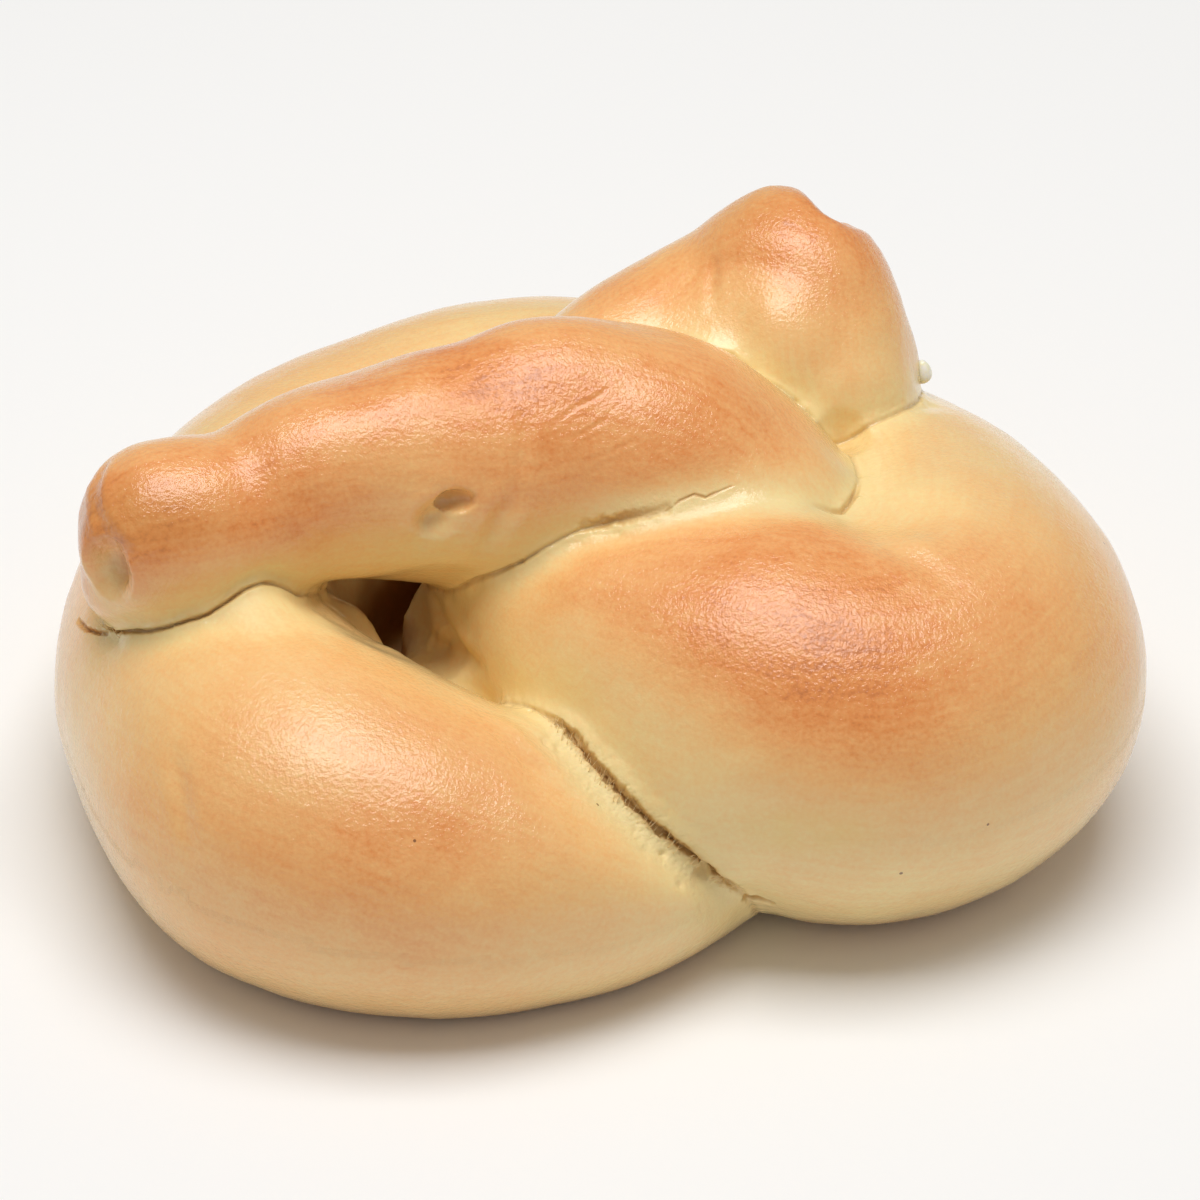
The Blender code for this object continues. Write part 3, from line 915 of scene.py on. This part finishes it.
def way_round_rope(points, rope, own):
    """Place along and around the rope in metres, so that wrinkles can follow it."""
    offset = points - rope.centre[own]
    across = np.einsum("ij,ij->i", offset, rope.side[own])
    upward = np.einsum("ij,ij->i", offset, rope.up[own])
    onward = np.einsum("ij,ij->i", offset, rope.along[own])
    around = np.arctan2(upward, across) * rope.half[own].mean(axis=1)
    return np.column_stack([rope.way[own] + onward, around, np.zeros(len(points))]) * MM


def frame_shift(points):
    """Moves the kneading frame so that the dough is centred over the frame's box."""
    low, high = np.array(CAD_BOX[0]), np.array(CAD_BOX[1])
    shift = 0.5 * (low + high) / MM - 0.5 * (points.min(axis=0) + points.max(axis=0))
    return np.array([shift[0], shift[1], 0.0])


def pushed(points):
    """The risen dough after every press and pull of the hand."""
    for press in PUSHES:
        points = push(points, *press)
    return points


def torn_band(seam):
    """How much torn dough shows: a narrow edge on the upper lip, a wide one below."""
    lower = 1.0 - seam["upper"]
    return seam["torn"] * (1.0 - smoothstep(0.6 + 0.6 * lower, 2.0 + 6.0 * lower, seam["gap"]))


def seams_at(rope, raw, points):
    """Everything known about the seams, from the points before and after the pushes."""
    seam = rope.seam_facts(raw)
    seam["torn"] = amount_in(TORN_ZONES, points, 0.6, 1.05)
    seam["grown"] = amount_in(GROWN_ZONES + INNER_ZONES, points, *GROWN_FADE)
    seam["sharp"] = np.maximum(0.35, amount_in(SHARP_ZONES, points, 0.6, 1.1))
    height = rope.centre[:, 2]
    seam["upper"] = (height[seam["own"]] > height[seam["other"]]).astype(float)
    return seam


def needs_fine_mesh(level, seam, points, sky):
    """Points whose surroundings carry detail finer than the mesh at this level."""
    reach, torn_reach, line_reach = FINE_REACH[level]
    beside_line, beside_rim = 0.6, 0.8
    finest = level == len(FINE_REACH) - 1
    above_foot = points[:, 2] > 1.5
    in_view = sky > 0.04
    still_open = seam["grown"] < 0.5
    fine = seam["gap"] < reach + torn_reach * seam["torn"]
    fine &= above_foot & still_open & in_view
    lines = CRACKS if finest else CREASES + CRACKS
    for route, width, _ in lines:
        fine |= along_route(points, route)[0] < line_reach * (beside_line + width)
    if not finest:
        for centre, radii, *_ in GAS_HOLES + SHARP_PUSHES:
            offset = (points - np.array(centre)) / (np.array(radii) + beside_rim)
            fine |= np.linalg.norm(offset, axis=1) < 1.0
    return fine


def refine_where_needed(mesh, rope):
    """Splits the mesh level by level towards the seams, creases, cracks and rims."""
    for level in range(len(FINE_REACH)):
        raw = points_of(mesh)
        points = pushed(raw)
        seam = seams_at(rope, raw, points)
        fine = needs_fine_mesh(level, seam, points, values_of(mesh, "sky"))
        refine(mesh, faces_touching(mesh, fine))


def sculpt(points, normals, seam, dough):
    """The finished skin, and how far each point lies inside a split, 0 to 1."""
    points = uneven_skin(points, normals, dough)
    for route, width, depth in CREASES:
        points = fold(points, normals, route, width, depth)
    for hole in GAS_HOLES:
        points = push(points, *hole)
    points = shape_seams(points, normals, seam, dough)
    split_open = np.zeros(len(points))
    for route, width, depth in CRACKS:
        points, opened = split(points, normals, route, width, depth)
        split_open = np.maximum(split_open, opened)
    points = open_pores(points, normals, seam)
    return settle_on_tray(points), split_open


def write_looks(mesh, points, normals, seam, split_open):
    """Attributes from 0 to 1 that the crust's material reads."""
    gap, torn = seam["gap"], seam["torn"]
    sky = values_of(mesh, "sky")
    opened = np.maximum(torn_band(seam), amount_in(RAW_BANDS, points, 0.3, 1.1))
    # Painted shade: the less of the sky a point sees, the more of the dark hollow brown it gets.
    cavity_shade = 1.0 - smoothstep(0.0, 0.14, sky)
    missed = amount_in(MISSED_BY_BRUSH, points, *SOFT_FADE)
    missed = np.maximum(missed, amount_in(INNER_ZONES, points, 0.6, 1.1))
    # Painted shade along the seams, strongest where they are sharp or torn. It is joined by the
    # painted shade and dark patches of the zones and the insides of the cracks.
    deep = (1.0 - smoothstep(0.0, 0.6 + 0.5 * torn, gap)) * (1.0 - seam["grown"])
    deep *= np.maximum(seam["sharp"], torn)
    deep = np.maximum(deep, amount_in(SHADED_HOLLOWS_AND_DARK_PATCHES, points, *SOFT_FADE))
    looks = {
        "browned": browned_amount(points, normals, sky, gap),
        "torn": opened,
        "cavity_shade": cavity_shade,
        "bare": np.maximum(np.maximum(cavity_shade, missed), opened),
        "crevice_shade": np.maximum(deep, split_open),
        "tray_edge": 1.0 - smoothstep(0.3, 2.2, points[:, 2]),
        "pooled_egg": amount_in(POOLED_EGG, points, *SOFT_FADE),
    }
    for name, values in looks.items():
        write_attribute(mesh, name, values)


def build_knot(dough):
    """The mesh of the knot, and the facts about its skin that the small pieces need."""
    rope = Rope()
    mesh = baked_together(rope, dough)
    raw = points_of(mesh)
    grown = amount_in(GROWN_ZONES, pushed(raw), *GROWN_FADE)
    raw = grow_together(mesh, raw, grown, dough.grown_passes)
    move_points(mesh, raw)
    sky = spread_evenly(mesh, sky_seen(mesh, raw, normals_of(mesh)))
    write_attribute(mesh, "sky", sky)
    refine_where_needed(mesh, rope)

    raw = points_of(mesh)
    points = pushed(raw)
    seam = seams_at(rope, raw, points)
    write_attribute(mesh, "rope_way", way_round_rope(raw, rope, seam["own"]))
    move_points(mesh, points)
    normals = normals_of(mesh)
    points, split_open = sculpt(points, normals, seam, dough)
    write_looks(mesh, points, normals, seam, split_open)
    mesh.attributes.remove(mesh.attributes["sky"])

    shift = frame_shift(points)
    move_points(mesh, (points + shift) * MM)
    mesh.shade_smooth()
    seam.update(points=points, normals=normals, shift=shift)
    return mesh, seam


# ---------------------------------------------------------------------------
# Materials
# ---------------------------------------------------------------------------
def add_node(tree, kind, settings=None, inputs=None, stops=()):
    """Adds a node, sets its properties, and gives each input a value or a link.

    Stops are the colours of a ramp, as (place, colour) pairs.
    """
    made = tree.nodes.new(kind)
    for name, value in (settings or {}).items():
        setattr(made, name, value)
    for name, value in (inputs or {}).items():
        socket = made.inputs[name]
        if isinstance(value, bpy.types.NodeSocket):
            tree.links.new(value, socket)
        else:
            socket.default_value = value
    for k, (place, colour) in enumerate(stops):
        elements = made.color_ramp.elements
        element = elements[k] if k < len(elements) else elements.new(place)
        element.position = place
        element.color = colour
    return made


def new_material(name):
    """An empty node material and its tree."""
    material = bpy.data.materials.new(name)
    material.use_nodes = True
    material.node_tree.nodes.clear()
    return material, material.node_tree


def per_metre(size_mm):
    """Texture scale whose features are size_mm across."""
    return 1.0 / (size_mm * MM)


def egg_washed_crust(crust):
    """Brioche crust brushed with beaten egg and baked.

    The egg film gives a wet sheen that breaks into glints over a fine crinkle, because the
    skin dried before the dough stopped rising. Colour runs from pale dough near the folds
    to amber and brown on the crowns, where the oven heat reached.
    """
    material, tree = new_material("egg_washed_crust")
    here = add_node(tree, "ShaderNodeTexCoord").outputs["Object"]
    way = add_node(tree, "ShaderNodeAttribute", {"attribute_name": "rope_way"})
    amounts = ("browned", "torn", "crevice_shade", "tray_edge", "pooled_egg", "cavity_shade", "bare")
    browned, torn, crevice_shade, tray_edge, pooled_egg, cavity_shade, bare = (
        add_node(tree, "ShaderNodeAttribute", {"attribute_name": name}).outputs["Fac"]
        for name in amounts
    )

    # Browning wanders in slow blotches, is drawn out a little along the rope, and ends in a
    # fine freckle.
    drawn_out = add_node(tree, "ShaderNodeMapping", {"vector_type": "TEXTURE"}, {
        "Vector": way.outputs["Vector"], "Scale": (10.0, 1.0, 1.0),
    })
    mottle, blotch, freckle, streak = (
        add_node(tree, "ShaderNodeTexNoise", None, {
            "Vector": vector, "Scale": per_metre(size), "Detail": detail,
        }).outputs["Fac"]
        for vector, size, detail in (
            (here, 8.0, 3.0),
            (here, 2.2, 3.0),
            (here, 0.5, 2.0),
            (drawn_out.outputs["Vector"], 0.9, 3.0),
        )
    )
    shares = ((mottle, 0.24), (blotch, 0.20), (freckle, 0.34), (streak, 0.30))
    tone = browned
    for texture, share in shares:
        tone = add_node(tree, "ShaderNodeMath", {"operation": "MULTIPLY_ADD"}, {
            0: texture, 1: share, 2: tone,
        }).outputs[0]
    # The four textures average one half, so half their shares is taken off again here.
    level = add_node(tree, "ShaderNodeMath", {"operation": "SUBTRACT"}, {
        0: tone, 1: 0.5 * sum(share for _, share in shares),
    })
    ramp = add_node(tree, "ShaderNodeValToRGB", None, {"Fac": level.outputs[0]}, (
        (0.00, crust.pale), (0.24, crust.straw), (0.48, crust.golden),
        (0.70, crust.amber), (0.88, crust.brown), (1.00, crust.dark),
    ))
    # Specks of caramelised egg about 0.4 mm across, a dozen or so over the whole crust.
    speck_cells = add_node(tree, "ShaderNodeTexVoronoi", None, {
        "Vector": here, "Scale": per_metre(4.4), "Randomness": 1.0,
    })
    speck_pick = add_node(tree, "ShaderNodeSeparateColor", None, {
        "Color": speck_cells.outputs["Color"],
    })
    few = add_node(tree, "ShaderNodeMath", {"operation": "GREATER_THAN"}, {
        0: speck_pick.outputs[0], 1: 0.86,
    })
    speck_size = add_node(tree, "ShaderNodeMath", {"operation": "LESS_THAN"}, {
        0: speck_cells.outputs["Distance"], 1: 0.045,
    })
    speck = add_node(tree, "ShaderNodeMath", {"operation": "MULTIPLY"}, {
        0: few.outputs[0], 1: speck_size.outputs[0],
    })
    # Each layer covers the one before it by its amount times its strength.
    skin_colour = ramp.outputs["Color"]
    for amount, strength, colour in (
        (pooled_egg, blotch, crust.yolk),
        (torn, 0.60, crust.crumb),
        # Painted shade deep in the hollows of the ring.
        (cavity_shade, 0.95, crust.hollow_shade_brown),
        # Painted shade along seams, in cracks and hollows, and darker patches on the tip and the
        # knob's top.
        (crevice_shade, 0.65, crust.shade_and_foot_brown),
        # Darker brown towards the foot, in its lowest two millimetres.
        (tray_edge, 0.45, crust.shade_and_foot_brown),
        (speck.outputs[0], 0.80, crust.speck),
    ):
        share = add_node(tree, "ShaderNodeMath", {"operation": "MULTIPLY"}, {
            0: amount, 1: strength,
        })
        skin_colour = add_node(tree, "ShaderNodeMix", {"data_type": "RGBA"}, {
            0: share.outputs[0], 6: skin_colour, 7: colour,
        }).outputs[2]

    # Crinkles of 0.4 to 1 mm, drawn out along the rope where the skin was stretched.
    stretch = add_node(tree, "ShaderNodeMapping", {"vector_type": "TEXTURE"}, {
        "Vector": way.outputs["Vector"], "Scale": (1.7, 1.0, 1.0),
    })
    crinkle = add_node(tree, "ShaderNodeTexNoise", {"noise_type": "RIDGED_MULTIFRACTAL"}, {
        "Vector": stretch.outputs["Vector"], "Scale": per_metre(1.0), "Detail": 3.0,
        "Roughness": 0.6,
    })
    pebble = add_node(tree, "ShaderNodeTexNoise", None, {
        "Vector": here, "Scale": per_metre(0.45), "Detail": 2.0, "Roughness": 0.6,
    })
    crumb = add_node(tree, "ShaderNodeTexNoise", None, {
        "Vector": here, "Scale": per_metre(0.8), "Detail": 4.0, "Roughness": 0.75,
    })
    height = add_node(tree, "ShaderNodeMath", {"operation": "MULTIPLY_ADD"}, {
        0: crinkle.outputs["Fac"], 1: 0.30, 2: pebble.outputs["Fac"],
    })
    # The pale flanks stayed soft, so their skin crinkled far less than the crowns.
    crinkled = add_node(tree, "ShaderNodeMapRange", None, {
        "Value": browned, "From Min": 0.0, "From Max": 0.6,
        "To Min": 0.3, "To Max": 1.0,
    })
    skin, wet = (
        add_node(tree, "ShaderNodeBump", None, {
            "Strength": crinkled.outputs[0], "Distance": depth_mm * MM,
            "Height": height.outputs[0],
        }).outputs["Normal"]
        for depth_mm in (0.07, 0.13)
    )
    ragged = add_node(tree, "ShaderNodeBump", None, {
        "Strength": torn, "Distance": 0.16 * MM, "Height": crumb.outputs["Fac"],
        "Normal": skin,
    })
    film = add_node(tree, "ShaderNodeMath", {"operation": "SUBTRACT"}, {0: 1.0, 1: bare})
    film_share = add_node(tree, "ShaderNodeMath", {"operation": "MULTIPLY"}, {
        0: film.outputs[0], 1: crust.gloss,
    })
    shader = add_node(tree, "ShaderNodeBsdfPrincipled", None, {
        "Base Color": skin_colour, "Roughness": 0.55, "IOR": 1.45,
        "Subsurface Weight": 0.10, "Subsurface Radius": (1.0, 0.55, 0.25),
        "Subsurface Scale": 1.4 * MM, "Normal": ragged.outputs["Normal"],
        "Coat Weight": film_share.outputs[0], "Coat Roughness": crust.gloss_roughness,
        "Coat IOR": 1.5, "Coat Normal": wet,
    })
    add_node(tree, "ShaderNodeOutputMaterial", None, {"Surface": shader.outputs["BSDF"]})
    return material


def torn_dough(crust):
    """Gluten threads pulled out as the seams opened: pale, dry and a little see-through."""
    material, tree = new_material("torn_dough")
    place = add_node(tree, "ShaderNodeTexCoord")
    uneven = add_node(tree, "ShaderNodeTexNoise", None, {
        "Vector": place.outputs["Object"], "Scale": per_metre(1.5), "Detail": 2.0,
    })
    ramp = add_node(tree, "ShaderNodeValToRGB", None, {"Fac": uneven.outputs["Fac"]}, (
        (0.3, crust.straw), (0.7, crust.crumb),
    ))
    shader = add_node(tree, "ShaderNodeBsdfPrincipled", None, {
        "Base Color": ramp.outputs["Color"], "Roughness": 0.7, "IOR": 1.45,
        "Subsurface Weight": 0.2, "Subsurface Radius": (1.0, 0.6, 0.3),
        "Subsurface Scale": 1.0 * MM,
    })
    add_node(tree, "ShaderNodeOutputMaterial", None, {"Surface": shader.outputs["BSDF"]})
    return material


def dried_egg_wash():
    """A drop of egg wash that ran down and set: clear, glossy and faintly yellow."""
    material, tree = new_material("dried_egg_wash")
    place = add_node(tree, "ShaderNodeTexCoord")
    cloud = add_node(tree, "ShaderNodeTexNoise", None, {
        "Vector": place.outputs["Object"], "Scale": per_metre(0.9), "Detail": 2.0,
    })
    ramp = add_node(tree, "ShaderNodeValToRGB", None, {"Fac": cloud.outputs["Fac"]}, (
        (0.35, hex_colour("#fffdf2")), (0.7, hex_colour("#f8f0cc")),
    ))
    shader = add_node(tree, "ShaderNodeBsdfPrincipled", None, {
        "Base Color": ramp.outputs["Color"], "Roughness": 0.08, "IOR": 1.42,
        "Subsurface Weight": 0.6, "Subsurface Radius": (1.0, 0.9, 0.7),
        "Subsurface Scale": 0.8 * MM,
    })
    add_node(tree, "ShaderNodeOutputMaterial", None, {"Surface": shader.outputs["BSDF"]})
    return material


def seamless_paper(stage):
    """Matt white background paper, with the faint tooth of its pulp."""
    material, tree = new_material("seamless_paper")
    place = add_node(tree, "ShaderNodeTexCoord")
    pulp = add_node(tree, "ShaderNodeTexNoise", None, {
        "Vector": place.outputs["Object"], "Scale": per_metre(2.0), "Detail": 3.0,
    })
    tooth = add_node(tree, "ShaderNodeBump", None, {
        "Strength": 0.2, "Distance": 0.05 * MM, "Height": pulp.outputs["Fac"],
    })
    shader = add_node(tree, "ShaderNodeBsdfPrincipled", None, {
        "Base Color": stage.floor, "Roughness": 0.9, "Normal": tooth.outputs["Normal"],
    })
    add_node(tree, "ShaderNodeOutputMaterial", None, {"Surface": shader.outputs["BSDF"]})
    return material


# ---------------------------------------------------------------------------
# Small pieces
# ---------------------------------------------------------------------------
# How torn threads grow, in millimetres: lengths and half widths from and to, how much of
# the length they arch up by, and how deep their feet stand in the skin.
THREAD_LENGTHS = (0.4, 1.2)
THREAD_HALF_WIDTHS = (0.025, 0.06)
THREAD_ARCH = 0.25
THREAD_ROOT = 0.15
THREAD_STATIONS = 6


def thread(bm, points, radius):
    """A thread through the points, thick at its foot."""
    sides = 4
    loops = []
    count = len(points)
    for i, p in enumerate(points):
        way = (points[min(i + 1, count - 1)] - points[max(i - 1, 0)]).normalized()
        side = way.orthogonal().normalized()
        up = way.cross(side)
        width = radius * (1.0 - 0.8 * i / (count - 1))
        loops.append([
            bm.verts.new(p + (side * math.cos(a) + up * math.sin(a)) * width)
            for a in (2.0 * math.pi * j / sides for j in range(sides))
        ])
    for lower, upper in zip(loops, loops[1:]):
        for j in range(sides):
            k = (j + 1) % sides
            bm.faces.new((lower[j], lower[k], upper[k], upper[j]))
    bm.faces.new(loops[0][::-1])
    bm.faces.new(loops[-1])


def build_fibres(baked, count):
    """Torn threads that stand on the lips of the open seams and lean across them."""
    rng = np.random.default_rng(7)
    points, gap, pull = baked["points"], baked["gap"], baked["pull"]
    lips = np.flatnonzero(
        (baked["torn"] > 0.3) & (gap > 0.35) & (gap < 1.3) & (baked["upper"] < 0.5)
    )
    bm = bmesh.new()
    for i in rng.choice(lips, count, replace=False):
        across = Vector(pull[i])
        outward = Vector(baked["normals"][i])
        length = rng.uniform(*THREAD_LENGTHS)
        lean = outward * rng.uniform(0.1, 0.7) + Vector(rng.normal(0.0, 0.25, 3))
        start = Vector(points[i]) - outward * THREAD_ROOT
        stations = []
        for t in np.linspace(0.0, 1.0, THREAD_STATIONS):
            curl = outward * (THREAD_ARCH * length * math.sin(math.pi * t))
            stations.append(start + (across + lean) * (length * t) + curl)
        thread(bm, stations, rng.uniform(*THREAD_HALF_WIDTHS))
    return placed_mesh(bm, "torn_fibres", baked["shift"])


# The drop of egg wash on the knob: its centre, its radius and half its height, in
# millimetres, and how much fuller it is at the bottom.
DROP_CENTRE = (34.0, 20.6, 35.0)
DROP_RADIUS = 1.1
DROP_HALF_HEIGHT = 1.35
DROP_FULLNESS = 0.28


def build_drop(baked):
    """A drop that hangs on the flank of the knob, fuller at the bottom."""
    bm = bmesh.new()
    bmesh.ops.create_icosphere(bm, subdivisions=4, radius=1.0)
    for vert in bm.verts:
        x, y, z = vert.co
        radius = DROP_RADIUS * (1.0 - DROP_FULLNESS * z)
        vert.co = Vector((x * radius, y * radius, z * DROP_HALF_HEIGHT)) + Vector(DROP_CENTRE)
    return placed_mesh(bm, "egg_wash_drop", baked["shift"])


def placed_mesh(bm, name, shift):
    """Moves a finished shape with the dough, from millimetres to metres, and makes its mesh."""
    for vert in bm.verts:
        vert.co = (vert.co + Vector(shift)) * MM
    mesh = bpy.data.meshes.new(name)
    bm.to_mesh(mesh)
    bm.free()
    mesh.shade_smooth()
    return mesh


def add_piece(name, mesh, material):
    """Puts a finished mesh in the scene, riding on the knot's body."""
    piece = bpy.data.objects.new(name, mesh)
    bpy.context.scene.collection.objects.link(piece)
    mesh.materials.append(material)
    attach(piece, BODY)
    return piece


# ---------------------------------------------------------------------------
# Operators
# ---------------------------------------------------------------------------
# Facts about the finished skin, left here by the knot's operator for the small pieces.
baked_dough = {}


class BRIOCHE_OT_knot(bpy.types.Operator):
    """Build the knot of baked dough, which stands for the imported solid"""

    bl_idname = "brioche.knot"
    bl_label = "Knot"

    def execute(self, context):
        mesh, facts = build_knot(context.scene.brioche_dough)
        mesh.name = "baked_knot"
        piece = add_piece("baked_knot", mesh, egg_washed_crust(context.scene.brioche_crust))
        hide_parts(NODE)
        baked_dough.update(facts)
        return {"FINISHED"}


class BRIOCHE_OT_fibres(bpy.types.Operator):
    """Add the torn threads of dough that bridge the open seams"""

    bl_idname = "brioche.fibres"
    bl_label = "Torn fibres"

    def execute(self, context):
        if not baked_dough:
            raise RuntimeError("the knot is built before its fibres")
        mesh = build_fibres(baked_dough, context.scene.brioche_dough.fibres)
        add_piece("torn_fibres", mesh, torn_dough(context.scene.brioche_crust))
        return {"FINISHED"}


class BRIOCHE_OT_drop(bpy.types.Operator):
    """Add the drop of egg wash on the flank of the knob"""

    bl_idname = "brioche.drop"
    bl_label = "Egg-wash drop"

    def execute(self, context):
        if not baked_dough:
            raise RuntimeError("the knot is built before its drop")
        add_piece("egg_wash_drop", build_drop(baked_dough), dried_egg_wash())
        return {"FINISHED"}


class BRIOCHE_OT_stage(bpy.types.Operator):
    """Lay the floor, hang the softbox and place the camera"""

    bl_idname = "brioche.stage"
    bl_label = "Stage"

    def execute(self, context):
        stage = context.scene.brioche_stage
        lay_floor(stage)
        hang_lights(stage)
        place_camera(stage)
        context.scene.view_settings.view_transform = "Standard"
        return {"FINISHED"}


# The studio, in metres. The softbox faces straight down.
FLOOR_SIZE = 4.0
SOFTBOX_SIZE = (0.62, 0.42)
SOFTBOX_PLACE = (-0.02, 0.0, 0.75)
CAMERA_TARGET = (0.0002, 0.0009, 0.020)


def lay_floor(stage):
    """A sheet of paper far wider than the knot, level with its foot."""
    bpy.ops.mesh.primitive_plane_add(size=FLOOR_SIZE)
    floor = bpy.context.object
    floor.name = "paper_floor"
    floor.data.materials.append(seamless_paper(stage))


def hang_lights(stage):
    """White surroundings and one softbox overhead, for soft shadows and broad highlights."""
    world = bpy.data.worlds.new("white_surround")
    world.use_nodes = True
    background = world.node_tree.nodes["Background"]
    background.inputs["Color"].default_value = (1.0, 1.0, 1.0, 1.0)
    background.inputs["Strength"].default_value = stage.surround
    bpy.context.scene.world = world
    light = bpy.data.lights.new("overhead_softbox", "AREA")
    light.shape = "RECTANGLE"
    light.size, light.size_y = SOFTBOX_SIZE
    light.energy = stage.softbox_power
    softbox = bpy.data.objects.new("overhead_softbox", light)
    softbox.location = SOFTBOX_PLACE
    bpy.context.scene.collection.objects.link(softbox)


def place_camera(stage):
    """A long lens in front of the knot, looking down at its middle."""
    lens = bpy.data.cameras.new("camera")
    lens.lens = stage.lens
    lens.sensor_width = 36.0
    lens.clip_start = 0.01
    camera = bpy.data.objects.new("camera", lens)
    target = Vector(CAMERA_TARGET)
    away = Vector((0.0, -math.cos(stage.elevation), math.sin(stage.elevation)))
    camera.location = target + away * stage.distance
    camera.rotation_euler = (-away).to_track_quat("-Z", "Y").to_euler()
    bpy.context.scene.collection.objects.link(camera)
    bpy.context.scene.camera = camera


class BRIOCHE_PT_panel(bpy.types.Panel):
    """Lists what the add-on builds"""

    bl_idname = "BRIOCHE_PT_panel"
    bl_label = "Brioche Knot"
    bl_space_type = "VIEW_3D"
    bl_region_type = "UI"
    bl_category = "Brioche"

    def draw(self, context):
        scene = context.scene
        for group in (scene.brioche_dough, scene.brioche_crust, scene.brioche_stage):
            box = self.layout.box()
            for name in group.__annotations__:
                box.prop(group, name)
        for operator in OPERATORS:
            self.layout.operator(operator.bl_idname)


SETTINGS = (DoughSettings, CrustSettings, StageSettings)
OPERATORS = (BRIOCHE_OT_knot, BRIOCHE_OT_fibres, BRIOCHE_OT_drop, BRIOCHE_OT_stage)
CLASSES = SETTINGS + OPERATORS + (BRIOCHE_PT_panel,)


def register():
    for cls in CLASSES:
        bpy.utils.register_class(cls)
    bpy.types.Scene.brioche_dough = PointerProperty(type=DoughSettings)
    bpy.types.Scene.brioche_crust = PointerProperty(type=CrustSettings)
    bpy.types.Scene.brioche_stage = PointerProperty(type=StageSettings)


def unregister():
    del bpy.types.Scene.brioche_stage
    del bpy.types.Scene.brioche_crust
    del bpy.types.Scene.brioche_dough
    for cls in reversed(CLASSES):
        bpy.utils.unregister_class(cls)


def main():
    register()
    bpy.ops.brioche.knot()
    bpy.ops.brioche.fibres()
    bpy.ops.brioche.drop()
    bpy.ops.brioche.stage()


if __name__ == "__main__":
    main()
